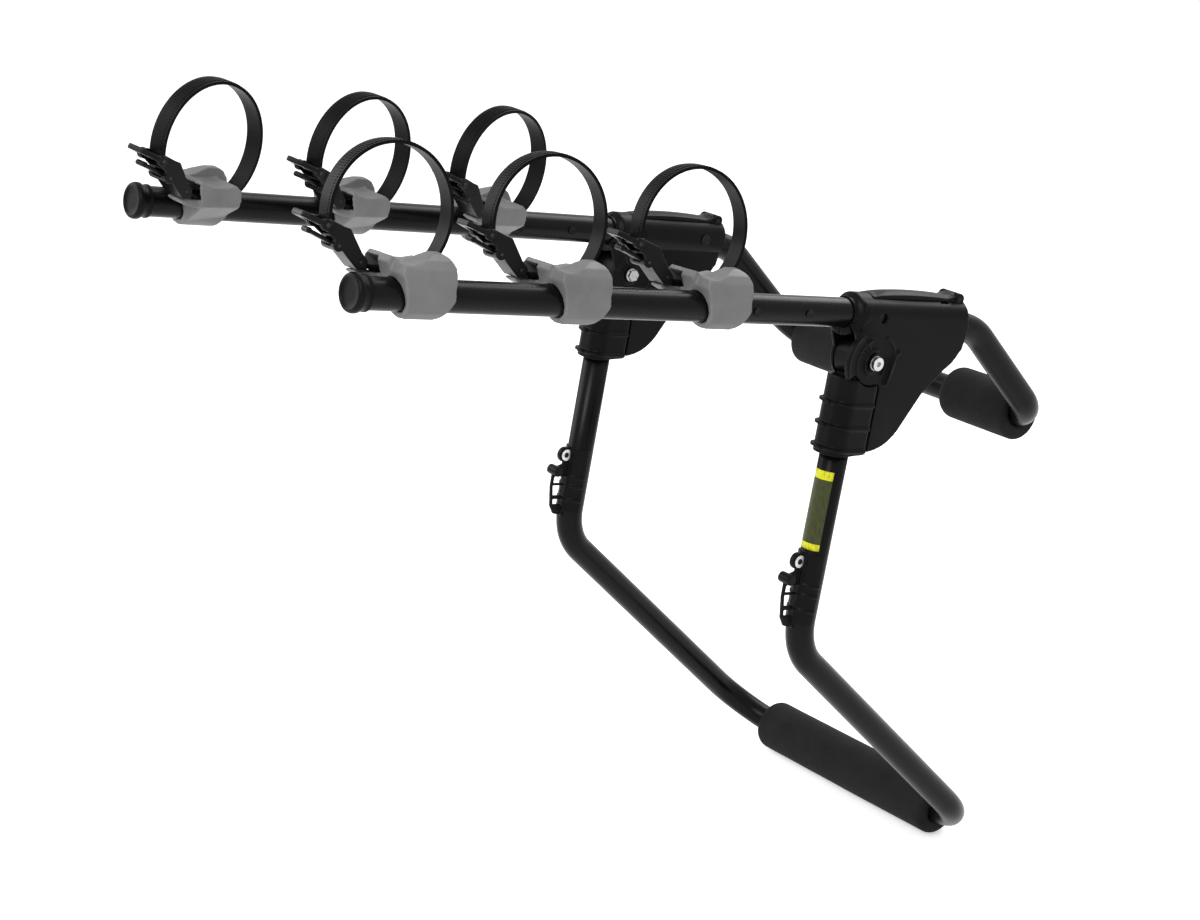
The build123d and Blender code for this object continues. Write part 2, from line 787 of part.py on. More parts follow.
def strap_face(grow=0):
    """Side view of the strap, thickened by grow on each face."""
    half = strap_t / 2 + grow
    ring = Ellipse(loop_a + half, loop_n + half) - Ellipse(loop_a - half, loop_n - half)
    ring = Pos(loop_centre_a, loop_centre_n) * ring
    front, back = loop_point(loop_front_angle), loop_point(loop_back_angle)
    a, n = loop_centre_a, loop_centre_n
    low = n - 2 * loop_n
    right, left = 2 * front[0] - a, 2 * back[0] - a
    ring -= polygon([(a, n), (right, 2 * front[1] - n), (right, low), (left, low), (left, 2 * back[1] - n)])
    rear = [back] + share_points(strap_back_shares, strap_span, strap_rise)
    nose = [front] + share_points(strap_front_shares, strap_span, strap_rise)
    return ring + band(rear, 2 * half) + disc(back, half) + band(nose, 2 * half) + disc(front, half)


def strap():
    """Looped strap as one band, pierced for its anchor rivet."""
    whole = clamp_slab(strap_face(), strap_w / 2)
    return whole - clamp_rod((anchor_pin_a, anchor_pin_n), anchor_pin_r + fit_gap, overrun)


def across_slab(section, length):
    """Solid that carries a section across the arm along it, the same way to each end."""
    return extrude(Plane.XZ * section, length, both=True)


def cradle(station):
    """Soft cradle: a collar round the arm, an ear and a saddle with a hood over the strap."""
    length = 3 * cradle_front
    bore = Rot(90, 0, 0) * Cylinder(tube_r + cradle_bore_gap, 2 * length)
    collar = Rot(90, 0, 0) * Cylinder(cradle_r, 2 * length)
    toe = polygon([
        (-cradle_back * cradle_toe / cradle_low, -cradle_r), (-cradle_back, 0), (-cradle_back, cradle_r),
        (cradle_front * cradle_toe / cradle_low, cradle_r), (cradle_toe, -cradle_r),
    ])
    collar &= clamp_slab(toe, cradle_r)
    ear = clamp_slab(polygon(share_points(ear_side_shares, cradle_back, cradle_crown)), cradle_inner)
    ear &= across_slab(polygon(share_points(ear_section_shares, cradle_outer, cradle_crown)), length)
    saddle = clamp_slab(polygon(share_points(saddle_side_shares, cradle_front, cradle_crown)), cradle_inner)
    section = polygon(share_points(saddle_section_shares, cradle_inner, cradle_crown))
    saddle &= across_slab(section, length)
    hood = clamp_slab(polygon(share_points(hood_shares, cradle_front, cradle_crown)), hood_half)
    tongue = clamp_slab(polygon(share_points(tongue_shares, tongue_reach, tongue_rise)), tongue_lane_half)
    channel = clamp_slab(strap_face(channel_gap), strap_w / 2 + channel_gap)
    lane = clamp_turn(clamp_inset)
    body = collar + ear + clamp_turn() * saddle - lane * hood
    body = body + lane * tongue - lane * channel
    return arm_frame(station) * (body - bore)


def buckle_body():
    """Buckle housing with the slot for the strap, ears for the lever and room for the tab."""
    face = polygon(share_points(body_outline_shares, body_span, body_rise), buckle_round)
    body = clamp_slab(face + disc((tab_pin_a, tab_pin_n), tab_boss_r), buckle_half)
    ears = polygon(share_points(buckle_ear_shares, body_span, body_rise))
    walls = clamp_slab(ears + disc((lever_pin_a, lever_pin_n), lever_eye_r), buckle_half)
    body += walls - Box(2 * buckle_slot_half, 4 * body_span, 4 * body_rise)
    body -= clamp_slab(strap_face(buckle_slot_gap), buckle_slot_half)
    tab_room = disc((tab_pin_a, tab_pin_n), tab_eye_r + touch_gap)
    tab_way = polygon(tab_outline(tab_thick + 2 * touch_gap + tab_bead_r, tab_length))
    body -= clamp_slab(tab_room + tab_way, tab_half + tab_side_gap)
    body -= clamp_rod((lever_pin_a, lever_pin_n), lever_pin_r + fit_gap, overrun)
    body -= clamp_rod((tab_pin_a, tab_pin_n), tab_pin_r + fit_gap, overrun)
    return body - clamp_rod((anchor_pin_a, anchor_pin_n), anchor_pin_r + fit_gap, overrun)


def tab_outline(thick, length):
    """Four corners of a blade that leaves the tab's pin."""
    angle = radians(tab_angle)
    along = (cos(angle), sin(angle))
    up = (-sin(angle), cos(angle))
    ends = []
    for run, rise in ((0, -thick / 2), (length, -thick / 2), (length, thick / 2), (0, thick / 2)):
        ends.append((tab_pin_a + run * along[0] + rise * up[0], tab_pin_n + run * along[1] + rise * up[1]))
    return ends


def release_tab():
    """Sprung tab under the lever that frees the ratchet."""
    angle = radians(tab_angle)
    tip = (tab_pin_a + tab_length * cos(angle), tab_pin_n + tab_length * sin(angle))
    face = polygon(tab_outline(tab_thick, tab_length)) + disc((tab_pin_a, tab_pin_n), tab_eye_r)
    face += disc(tip, tab_bead_r)
    tab = clamp_slab(face, tab_half)
    return tab - clamp_rod((tab_pin_a, tab_pin_n), tab_pin_r + fit_gap, overrun)


def ratchet_lever():
    """U shaped lever loop whose arms straddle the buckle housing."""
    root_half = buckle_half + lever_side_gap + lever_arm_w
    inner_root = buckle_half + lever_side_gap
    outer = polygon([
        (0, -root_half), (lever_straight, -root_half),
        (lever_length - lever_tip_w, -lever_tip_half - lever_arm_w),
        (lever_length, -lever_tip_half), (lever_length, lever_tip_half),
        (lever_length - lever_tip_w, lever_tip_half + lever_arm_w),
        (lever_straight, root_half), (0, root_half),
    ])
    inner = polygon([
        (-lever_eye_r - overrun, -inner_root), (lever_straight, -inner_root),
        (lever_length - 2 * lever_tip_w, -lever_tip_half), (lever_length - lever_tip_w, -lever_tip_half / 2),
        (lever_length - lever_tip_w, lever_tip_half / 2), (lever_length - 2 * lever_tip_w, lever_tip_half),
        (lever_straight, inner_root), (-lever_eye_r - overrun, inner_root),
    ])
    loop = extrude(outer - inner, lever_thick / 2, both=True)
    eye = Rot(90, 0, 0) * Cylinder(lever_eye_r, 2 * root_half)
    eye -= Box(overrun, 2 * inner_root, overrun)
    lever = loop + eye
    lever -= Rot(90, 0, 0) * Cylinder(lever_pin_r + fit_gap, 4 * root_half)
    # Stand the flat loop in the clamp's side view
    placed = Plane(origin=(0, -lever_pin_a, lever_pin_n), x_dir=lever_direction(), z_dir=lever_normal())
    return placed.location * lever


def lever_direction():
    """Direction of the lever in the clamp's frame."""
    return (0, -cos(radians(lever_angle)), sin(radians(lever_angle)))


def lever_normal():
    """Upper face direction of the lever in the clamp's frame."""
    return (0, sin(radians(lever_angle)), cos(radians(lever_angle)))


def buckle_pins():
    """Lever pin, tab pin and anchor rivet of one buckle."""
    outer = buckle_half + lever_side_gap + lever_arm_w + pin_proud
    lever_pin = clamp_rod((lever_pin_a, lever_pin_n), lever_pin_r, outer)
    tab_pin = clamp_rod((tab_pin_a, tab_pin_n), tab_pin_r, buckle_half + pin_proud / 2)
    anchor = clamp_rod((anchor_pin_a, anchor_pin_n), anchor_pin_r, buckle_half + pin_proud / 2)
    return [lever_pin, tab_pin, anchor]


def write(name, shape):
    """Write one node's file."""
    export_step(shape, f"parts/{name}.step")


def write_pair(name, *solids):
    """Write a right hand piece, of one or more solids, and its mirror image."""
    piece = Compound(list(solids)) if len(solids) > 1 else solids[0]
    write(f"{name}_right", piece)
    write(f"{name}_left", mirrored(piece))


def write_frames():
    """Write the two bent frames and their foam."""
    write("lower_frame_tube", lower_frame_tube())
    write("upper_frame_tube", upper_frame_tube())
    write("lower_foam", lower_foam())
    write("upper_foam_right", upper_foam(1))
    write("upper_foam_left", upper_foam(-1))


def write_hubs():
    """Write the hubs and what they carry."""
    write_pair("hub_outer_cover", hub_cover(True))
    write_pair("hub_inner_cover", hub_cover(False))
    write_pair("pivot_bolt", pivot_bolt())
    write_pair("hub_pins", *hub_pins())
    write_pair("release_paddle", paddle())
    write_pair("leg_socket", leg_socket())
    write_pair("ladder_bracket", ladder_bracket())
    write("ladder_screws", Compound([ladder_screw(), mirrored(ladder_screw())]))


def write_arms():
    """Write the arms with their caps and fasteners."""
    write_pair("arm_tube", arm_tube())
    write_pair("arm_end_cap", arm_end_cap())
    write_pair("arm_screws", *arm_rivets(), hub_screw())


def write_clamps():
    """Write every cradle with its strap and buckle."""
    names = ("inner", "middle", "outer")
    pins = []
    turn = clamp_turn(clamp_inset)
    parts = {
        "strap": strap(),
        "buckle": buckle_body(),
        "ratchet_lever": ratchet_lever(),
        "release_tab": release_tab(),
    }
    for station in range(len(names)):
        where = arm_frame(station) * turn
        write_pair(f"cradle_{names[station]}", cradle(station))
        for part_name, part in parts.items():
            write_pair(f"{part_name}_{names[station]}", where * part)
        pins += [where * pin for pin in buckle_pins()]
    write_pair("buckle_pins", *pins)


os.makedirs("parts", exist_ok=True)
write_frames()
write_hubs()
write_arms()
write_clamps()
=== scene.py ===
"""Dresses the trunk mounted bike rack: materials, foam sleeves, moulded parts, label and camera."""
import json
import math

import bmesh
import bpy
from mathutils import Matrix, Vector, noise


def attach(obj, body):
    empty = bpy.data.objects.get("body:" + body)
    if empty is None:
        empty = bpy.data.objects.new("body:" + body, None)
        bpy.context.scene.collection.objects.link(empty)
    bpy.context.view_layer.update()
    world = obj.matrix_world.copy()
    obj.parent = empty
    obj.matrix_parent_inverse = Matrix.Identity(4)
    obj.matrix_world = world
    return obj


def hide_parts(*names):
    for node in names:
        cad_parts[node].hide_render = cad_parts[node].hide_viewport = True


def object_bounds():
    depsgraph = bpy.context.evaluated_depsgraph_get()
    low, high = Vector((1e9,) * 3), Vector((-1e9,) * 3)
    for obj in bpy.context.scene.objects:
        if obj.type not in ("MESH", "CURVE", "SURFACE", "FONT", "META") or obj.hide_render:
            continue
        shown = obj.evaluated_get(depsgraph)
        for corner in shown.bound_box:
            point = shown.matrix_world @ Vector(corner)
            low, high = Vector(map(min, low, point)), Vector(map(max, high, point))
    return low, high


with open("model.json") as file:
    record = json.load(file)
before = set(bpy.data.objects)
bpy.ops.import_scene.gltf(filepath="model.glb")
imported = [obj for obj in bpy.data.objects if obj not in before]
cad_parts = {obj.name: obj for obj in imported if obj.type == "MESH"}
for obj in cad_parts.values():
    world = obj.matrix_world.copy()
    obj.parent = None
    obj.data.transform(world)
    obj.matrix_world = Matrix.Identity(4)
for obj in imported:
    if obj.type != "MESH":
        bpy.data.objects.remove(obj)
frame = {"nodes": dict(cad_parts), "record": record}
cad_low, cad_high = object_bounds()

# Lengths below are in millimetres, and meshes are in metres
MM = 0.001
SIDES = {"right": 1, "left": -1}
STATIONS = ("inner", "middle", "outer")

# Places and sizes repeated from the CAD
TUBE_R = 14.3
HALF_TRACK = 187.0
LEG_LEAN = math.radians(12.6)
LEG_OFFSET = 10.0
LEG_LENGTH = 290.0
LOWER_FOOT = (194.26, -579.77)
LOWER_LEG_ANGLE = 48.2
LOWER_BEND_R = 70.0
UPPER_FOOT = (257.01, -121.64)
UPPER_LEG_ANGLE = 49.7
UPPER_BEND_R = 40.0
FOAM_R = 28.0
ARM_X = 183.0
ARM_TILT = math.radians(12.7)
ARM_HEIGHT = 44.6
ARM_REACH = 586.0
BARREL_R = 20.5
BARREL_BACK = 132.0
HUB_FACE = 205.5
STATION_SHARES = {"inner": 0.3242, "middle": 0.6118, "outer": 0.8993}
CLAMP_INSET = 29.0
CLAMP_LEAN = math.radians(3.7)
CLAMP_SPLAY = math.radians(8.8)
SPLAY_CENTRE = 5.0
LOOP_RADII = (57.4, 61.4)
LOOP_CENTRE = (18.8, 64.2)
EYELET = (204.7, 21.0)
LADDER_BAR = (222.6, 30.5)


# Materials
def new_material(name):
    """Material with its nodes, output shader and an object coordinate input."""
    material = bpy.data.materials.new(name)
    material.use_nodes = True
    tree = material.node_tree
    shader = tree.nodes["Principled BSDF"]
    coords = tree.nodes.new("ShaderNodeTexCoord")
    return material, tree, shader, coords.outputs["Object"]


def noise_node(tree, vector, scale, detail=4.0, roughness=0.55):
    """Noise texture over the given coordinates."""
    node = tree.nodes.new("ShaderNodeTexNoise")
    node.inputs["Scale"].default_value = scale
    node.inputs["Detail"].default_value = detail
    node.inputs["Roughness"].default_value = roughness
    tree.links.new(vector, node.inputs["Vector"])
    return node.outputs["Fac"]


def ramp(tree, value, stops, steps=False):
    """Colour ramp with the given positions and colours, blended or in steps."""
    node = tree.nodes.new("ShaderNodeValToRGB")
    elements = node.color_ramp.elements
    while len(elements) < len(stops):
        elements.new(0.5)
    for element, (place, colour) in zip(elements, stops):
        element.position = place
        element.color = (*colour, 1.0)
    if steps:
        node.color_ramp.interpolation = "CONSTANT"
    tree.links.new(value, node.inputs["Fac"])
    return node.outputs["Color"]


def spread(tree, value, low, high):
    """Value between 0 and 1 stretched to run from low to high."""
    node = tree.nodes.new("ShaderNodeMapRange")
    node.inputs["To Min"].default_value = low
    node.inputs["To Max"].default_value = high
    tree.links.new(value, node.inputs["Value"])
    return node.outputs["Result"]


def bump(tree, shader, height, strength, distance, under=None):
    """Bump from a height, on top of another normal if one is given."""
    node = tree.nodes.new("ShaderNodeBump")
    node.inputs["Strength"].default_value = strength
    node.inputs["Distance"].default_value = distance
    tree.links.new(height, node.inputs["Height"])
    if under is not None:
        tree.links.new(under, node.inputs["Normal"])
    tree.links.new(node.outputs["Normal"], shader.inputs["Normal"])
    return node.outputs["Normal"]


def multiplied(tree, colour, shade, factor):
    """One colour multiplied by another."""
    mix = tree.nodes.new("ShaderNodeMix")
    mix.data_type = "RGBA"
    mix.blend_type = "MULTIPLY"
    mix.inputs["Factor"].default_value = factor
    tree.links.new(colour, mix.inputs["A"])
    tree.links.new(shade, mix.inputs["B"])
    return mix.outputs["Result"]


def grey(value):
    """Neutral grey."""
    return (value, value, value)


def coated_steel():
    """Satin black powder coat with a fine orange peel."""
    material, tree, shader, where = new_material("powder_coat")
    tone = noise_node(tree, where, scale=9.0)
    colour = ramp(tree, tone, [(0.3, grey(0.0024)), (0.7, grey(0.0042))])
    tree.links.new(colour, shader.inputs["Base Color"])
    wear = noise_node(tree, where, scale=55.0)
    tree.links.new(spread(tree, wear, low=0.22, high=0.34), shader.inputs["Roughness"])
    peel = noise_node(tree, where, scale=900.0, detail=2.0)
    bump(tree, shader, peel, strength=0.10, distance=0.0004)
    shader.inputs["Specular IOR Level"].default_value = 0.10
    return material


def moulded_plastic(name, dark, light, rough, shine, grain=700.0, depth=0.12):
    """Moulded black plastic with a fine spark grain."""
    material, tree, shader, where = new_material(name)
    tone = noise_node(tree, where, scale=16.0)
    colour = ramp(tree, tone, [(0.3, grey(dark)), (0.72, grey(light))])
    tree.links.new(colour, shader.inputs["Base Color"])
    wear = noise_node(tree, where, scale=60.0)
    tree.links.new(spread(tree, wear, *rough), shader.inputs["Roughness"])
    spark = noise_node(tree, where, scale=grain, detail=3.0)
    bump(tree, shader, spark, strength=depth, distance=0.0004)
    shader.inputs["Specular IOR Level"].default_value = shine
    return material


def cradle_rubber():
    """Soft grey rubber with faint flow marks and dusty roughness."""
    material, tree, shader, where = new_material("grey_rubber")
    tone = noise_node(tree, where, scale=28.0, detail=6.0)
    colour = ramp(tree, tone, [(0.25, grey(0.125)), (0.5, grey(0.155)), (0.8, grey(0.185))])
    tree.links.new(colour, shader.inputs["Base Color"])
    dust = noise_node(tree, where, scale=80.0)
    tree.links.new(spread(tree, dust, low=0.42, high=0.60), shader.inputs["Roughness"])
    skin = noise_node(tree, where, scale=500.0, detail=3.0)
    bump(tree, shader, skin, strength=0.15, distance=0.0005)
    shader.inputs["Specular IOR Level"].default_value = 0.35
    return material


def foam_material():
    """Closed cell foam: dull, finely pitted and a little mottled."""
    material, tree, shader, where = new_material("closed_cell_foam")
    tone = noise_node(tree, where, scale=22.0, detail=6.0)
    colour = ramp(tree, tone, [(0.3, grey(0.009)), (0.7, grey(0.015))])
    tree.links.new(colour, shader.inputs["Base Color"])
    dull = noise_node(tree, where, scale=90.0)
    tree.links.new(spread(tree, dull, low=0.66, high=0.82), shader.inputs["Roughness"])
    cells = tree.nodes.new("ShaderNodeTexVoronoi")
    cells.inputs["Scale"].default_value = 620.0
    tree.links.new(where, cells.inputs["Vector"])
    pits = bump(tree, shader, cells.outputs["Distance"], strength=0.30, distance=0.0007)
    swell = noise_node(tree, where, scale=120.0, detail=5.0)
    bump(tree, shader, swell, strength=0.22, distance=0.0012, under=pits)
    shader.inputs["Specular IOR Level"].default_value = 0.1
    return material


def fastener_steel(name, dark, light, rough):
    """Plated steel, turned and slightly scratched."""
    material, tree, shader, where = new_material(name)
    tone = noise_node(tree, where, scale=260.0)
    colour = ramp(tree, tone, [(0.3, grey(dark)), (0.75, grey(light))])
    tree.links.new(colour, shader.inputs["Base Color"])
    wear = noise_node(tree, where, scale=420.0)
    tree.links.new(spread(tree, wear, *rough), shader.inputs["Roughness"])
    shader.inputs["Metallic"].default_value = 1.0
    bump(tree, shader, noise_node(tree, where, scale=900.0), strength=0.08, distance=0.0003)
    return material


def pivot_bolt_steel():
    """Bright head inside a black washer, told apart by their distance from the pivot's axis."""
    material, tree, shader, where = new_material("pivot_bolt_steel")
    split = tree.nodes.new("ShaderNodeSeparateXYZ")
    tree.links.new(where, split.inputs["Vector"])
    flat = tree.nodes.new("ShaderNodeCombineXYZ")
    tree.links.new(split.outputs["Y"], flat.inputs["Y"])
    tree.links.new(split.outputs["Z"], flat.inputs["Z"])
    length = tree.nodes.new("ShaderNodeVectorMath")
    length.operation = "LENGTH"
    tree.links.new(flat.outputs["Vector"], length.inputs[0])
    # The ramp's whole run is 10 mm, so that its step stands 7 mm from the axis
    share = tree.nodes.new("ShaderNodeMath")
    share.operation = "MULTIPLY"
    share.inputs[1].default_value = 100.0
    tree.links.new(length.outputs["Value"], share.inputs[0])
    tone = noise_node(tree, where, scale=260.0)
    bright = ramp(tree, tone, [(0.3, grey(0.46)), (0.75, grey(0.66))])
    washer = ramp(tree, share.outputs["Value"], [(0.0, grey(1.0)), (0.70, grey(0.02))], steps=True)
    tree.links.new(multiplied(tree, bright, washer, factor=1.0), shader.inputs["Base Color"])
    wear = noise_node(tree, where, scale=420.0)
    tree.links.new(spread(tree, wear, low=0.20, high=0.38), shader.inputs["Roughness"])
    shader.inputs["Metallic"].default_value = 1.0
    return material


def label_material():
    """Printed film: yellow bands at both ends of an olive field, with no lettering."""
    material, tree, shader, _ = new_material("label_film")
    coords = tree.nodes.new("ShaderNodeTexCoord")
    split = tree.nodes.new("ShaderNodeSeparateXYZ")
    tree.links.new(coords.outputs["UV"], split.inputs["Vector"])
    yellow, olive = (0.66, 0.66, 0.01), (0.036, 0.042, 0.006)
    bands = ramp(tree, split.outputs["Y"], [(0.0, yellow), (0.082, olive), (0.887, yellow)], steps=True)
    blotch = noise_node(tree, coords.outputs["UV"], scale=11.0, detail=3.0)
    shade = ramp(tree, blotch, [(0.38, grey(0.45)), (0.55, grey(1.0))])
    tree.links.new(multiplied(tree, bands, shade, factor=0.6), shader.inputs["Base Color"])
    tree.links.new(spread(tree, blotch, low=0.28, high=0.40), shader.inputs["Roughness"])
    shader.inputs["Specular IOR Level"].default_value = 0.3
    return material


COAT = coated_steel()
HUB = moulded_plastic("hub_plastic", dark=0.0026, light=0.0050, rough=(0.30, 0.44), shine=0.065)
CAP = moulded_plastic("cap_plastic", dark=0.0026, light=0.0048, rough=(0.34, 0.48), shine=0.08)
LADDER = moulded_plastic("ladder_plastic", dark=0.0026, light=0.0046, rough=(0.26, 0.40), shine=0.08)
STRAP = moulded_plastic(
    "strap_plastic", dark=0.0024, light=0.0044, rough=(0.30, 0.42), shine=0.05, grain=500.0, depth=0.08,
)
BUCKLE = moulded_plastic(
    "buckle_plastic", dark=0.0036, light=0.0070, rough=(0.22, 0.36), shine=0.11, grain=420.0, depth=0.06,
)
CRADLE = cradle_rubber()
FOAM = foam_material()
STEEL = fastener_steel("zinc_steel", dark=0.46, light=0.66, rough=(0.22, 0.40))
# Black steel of the arm screws and hub pins, also used as painted shade inside the ladder screws' sockets
BLACK_STEEL_AND_SOCKET_SHADE = fastener_steel("black_oxide_steel_and_socket_shade", dark=0.010, light=0.022, rough=(0.28, 0.42))
PIN_STEEL = fastener_steel("dull_pin_steel", dark=0.030, light=0.055, rough=(0.30, 0.44))
BOLT_STEEL = pivot_bolt_steel()
LABEL = label_material()

LOOKS = {
    "arm_tube": COAT, "lower_frame_tube": COAT, "upper_frame_tube": COAT,
    "hub_outer_cover": HUB, "hub_inner_cover": HUB, "release_paddle": HUB, "leg_socket": HUB,
    "arm_end_cap": CAP, "ladder_bracket": LADDER, "cradle": CRADLE, "strap": STRAP,
    "buckle_pins": PIN_STEEL, "buckle": BUCKLE, "ratchet_lever": BUCKLE, "release_tab": BUCKLE,
    "pivot_bolt": BOLT_STEEL, "arm_screws": BLACK_STEEL_AND_SOCKET_SHADE, "hub_pins": BLACK_STEEL_AND_SOCKET_SHADE, "ladder_screws": STEEL,
    "lower_foam": FOAM, "upper_foam": FOAM,
}


def look_of(node):
    """Material of a CAD node by the longest name that it starts with."""
    return LOOKS[max((key for key in LOOKS if node.startswith(key)), key=len)]


for node_name, node_object in frame["nodes"].items():
    node_object.data.materials.clear()
    node_object.data.materials.append(look_of(node_name))


# Meshes
def body_of(node):
    """Body that a CAD node rides on."""
    bodies = frame["record"]["behaviour"]["bodies"]
    return next(body for body, nodes in bodies.items() if node in nodes)


def stand_in(piece, node):
    """Make a piece the visible form of a CAD node."""
    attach(piece, body_of(node))
    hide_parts(node)


def circle_turns(count):
    """Evenly spaced angles of a whole circle."""
    return [2 * math.pi * k / count for k in range(count)]


def mesh_object(name, verts, faces, material, smooth=True):
    """Mesh object at the origin with one material."""
    mesh = bpy.data.meshes.new(name)
    mesh.from_pydata([tuple(v) for v in verts], [], faces)
    mesh.materials.append(material)
    mesh.update()
    if smooth:
        mesh.shade_smooth()
    piece = bpy.data.objects.new(name, mesh)
    bpy.context.scene.collection.objects.link(piece)
    return piece


def outward(piece):
    """Turn the normals outwards."""
    bpy.context.view_layer.objects.active = piece
    for other in bpy.context.selected_objects:
        other.select_set(False)
    piece.select_set(True)
    bpy.ops.object.mode_set(mode="EDIT")
    bpy.ops.mesh.select_all(action="SELECT")
    bpy.ops.mesh.normals_make_consistent(inside=False)
    bpy.ops.object.mode_set(mode="OBJECT")
    piece.select_set(False)


def bake(piece):
    """Replace the object's mesh by its evaluated mesh and drop its modifiers."""
    graph = bpy.context.evaluated_depsgraph_get()
    mesh = bpy.data.meshes.new_from_object(piece.evaluated_get(graph))
    piece.modifiers.clear()
    piece.data = mesh
    return piece


def merge_doubles(mesh, distance):
    """Merge the vertices of a mesh that lie closer than a distance."""
    shape = bmesh.new()
    shape.from_mesh(mesh)
    bmesh.ops.remove_doubles(shape, verts=shape.verts, dist=distance)
    shape.to_mesh(mesh)
    shape.free()


def merged_copy(node, name, material):
    """Merged copy of a CAD node's mesh as a new piece in the same place."""
    mesh = frame["nodes"][node].data.copy()
    merge_doubles(mesh, 0.01 * MM)
    mesh.materials.clear()
    mesh.materials.append(material)
    piece = bpy.data.objects.new(name, mesh)
    bpy.context.scene.collection.objects.link(piece)
    return piece


def ring_faces(count, around, closed):
    """Quads between neighbouring rings, and from the last ring to the first if closed."""
    faces = []
    for i in range(count if closed else count - 1):
        j = (i + 1) % count
        for k in range(around):
            m = (k + 1) % around
            faces.append((i * around + k, i * around + m, j * around + m, j * around + k))
    return faces


def end_and_side_faces(count):
    """Faces of a body between two like outlines."""
    faces = [tuple(range(count)), tuple(range(2 * count - 1, count - 1, -1))]
    return faces + [(i, count + i, count + (i + 1) % count, (i + 1) % count) for i in range(count)]


def prism(outline, low, high, sign=1):
    """Closed body between two X places through a side view outline."""
    verts = [Vector((sign * x, y, z)) * MM for x in (low, high) for y, z in outline]
    return verts, end_and_side_faces(len(outline))


def block(name, verts, faces):
    """Closed body as an object, for a Boolean."""
    piece = mesh_object(name, verts, faces, HUB, smooth=False)
    outward(piece)
    return piece


def boolean(piece, tool, operation):
    """Cut a piece with a tool body, and drop the tool."""
    cut = piece.modifiers.new("cut", "BOOLEAN")
    cut.operation = operation
    cut.solver = "EXACT"
    cut.object = tool
    bake(piece)
    bpy.data.objects.remove(tool)


def trim(piece, outline, low, high, sign):
    """Keep only what lies inside a side view outline."""
    boolean(piece, block("trim_block", *prism(outline, low, high, sign)), "INTERSECT")


def add_body(piece, verts, faces):
    """Join a closed body to a piece's mesh."""
    shape = bmesh.new()
    shape.from_mesh(piece.data)
    corners = [shape.verts.new(vert) for vert in verts]
    added = [shape.faces.new([corners[i] for i in face]) for face in faces]
    bmesh.ops.recalc_face_normals(shape, faces=added)
    shape.to_mesh(piece.data)
    shape.free()


KEPT_FACES = 0.30


def moulded(piece, voxel, rounds, swell=0.0):
    """Fuse a piece's bodies into one skin with soft edges."""
    remesh = piece.modifiers.new("remesh", "REMESH")
    remesh.mode = "VOXEL"
    remesh.voxel_size = voxel * MM
    remesh.use_smooth_shade = True
    if swell:
        grow = piece.modifiers.new("swell", "DISPLACE")
        grow.strength = swell * MM
        grow.mid_level = 0.0
    smooth = piece.modifiers.new("smooth", "SMOOTH")
    smooth.factor = 0.5
    smooth.iterations = rounds
    thin = piece.modifiers.new("thin", "DECIMATE")
    thin.ratio = KEPT_FACES
    bake(piece)
    piece.data.shade_smooth()
    return piece


# Foam sleeves
FOAM_AROUND = 96
FOAM_RIM_STEPS = 8
FOAM_STEP = 6.0
FOAM_CROWN = 0.3
FOAM_DENT = 0.35
BORE_GAP = 0.1
BORE_INSET = 1.6
BORE_STEPS = 14
END_DISH = 0.7
END_DISH_R = TUBE_R + 3.0
LOWER_FOAM_HALF = 138.0
UPPER_FOAM_ENDS = (67.0, 165.0)
LOWER_RIM = 9.0
INNER_RIM = 10.0
OUTER_RIM = 5.0
LOWER_REST = (LOWER_FOOT, LOWER_LEG_ANGLE, LOWER_BEND_R)
UPPER_REST = (UPPER_FOOT, UPPER_LEG_ANGLE, UPPER_BEND_R)


def rim_profile(edge):
    """Rounded rim of a sleeve as places from its end and radii."""
    turns = [math.pi / 2 * step / FOAM_RIM_STEPS for step in range(FOAM_RIM_STEPS + 1)]
    return [(edge * (1 - math.cos(turn)), FOAM_R - edge * (1 - math.sin(turn))) for turn in turns]


def sleeve_profile(length, edges):
    """Outside of a sleeve from end to end, with slightly dished end faces."""
    first, last = (rim_profile(edge) for edge in edges)
    run = max(12, int(length / FOAM_STEP))
    free = length - sum(edges)
    middle = [(edges[0] + free * step / run, FOAM_R) for step in range(1, run)]
    last = [(length - place, radius) for place, radius in reversed(last)]
    return [(END_DISH, END_DISH_R)] + first + middle + last + [(length - END_DISH, END_DISH_R)]


def skin_ring(x, radius, foot, seed):
    """Ring of a sleeve's outside, a little dented."""
    ring = []
    for turn in circle_turns(FOAM_AROUND):
        y = foot[0] + radius * math.cos(turn)
        z = foot[1] + radius * math.sin(turn)
        push = FOAM_DENT * noise.noise(Vector((x * 0.02 + seed, y * 0.03, z * 0.03)))
        ring.append(Vector((x, y + push * math.cos(turn), z + push * math.sin(turn))) * MM)
    return ring


def bore_ring(x, foot, leg_angle, bend_r):
    """Ring of a sleeve's bore, which follows the tube into its bend."""
    direction = math.radians(180 - leg_angle)
    past = abs(x) - (HALF_TRACK - bend_r)
    shift, stretch = 0.0, 1.0
    if past > 0:
        lean = math.asin(past / bend_r)
        shift = bend_r * (1 - math.cos(lean))
        stretch = 1 / math.cos(lean)
    ring = []
    for turn in circle_turns(FOAM_AROUND):
        across = (TUBE_R + BORE_GAP) * math.cos(turn - direction) * stretch
        beside = (TUBE_R + BORE_GAP) * math.sin(turn - direction)
        y = foot[0] + (shift + across) * math.cos(direction) - beside * math.sin(direction)
        z = foot[1] + (shift + across) * math.sin(direction) + beside * math.cos(direction)
        ring.append(Vector((x, y, z)) * MM)
    return ring


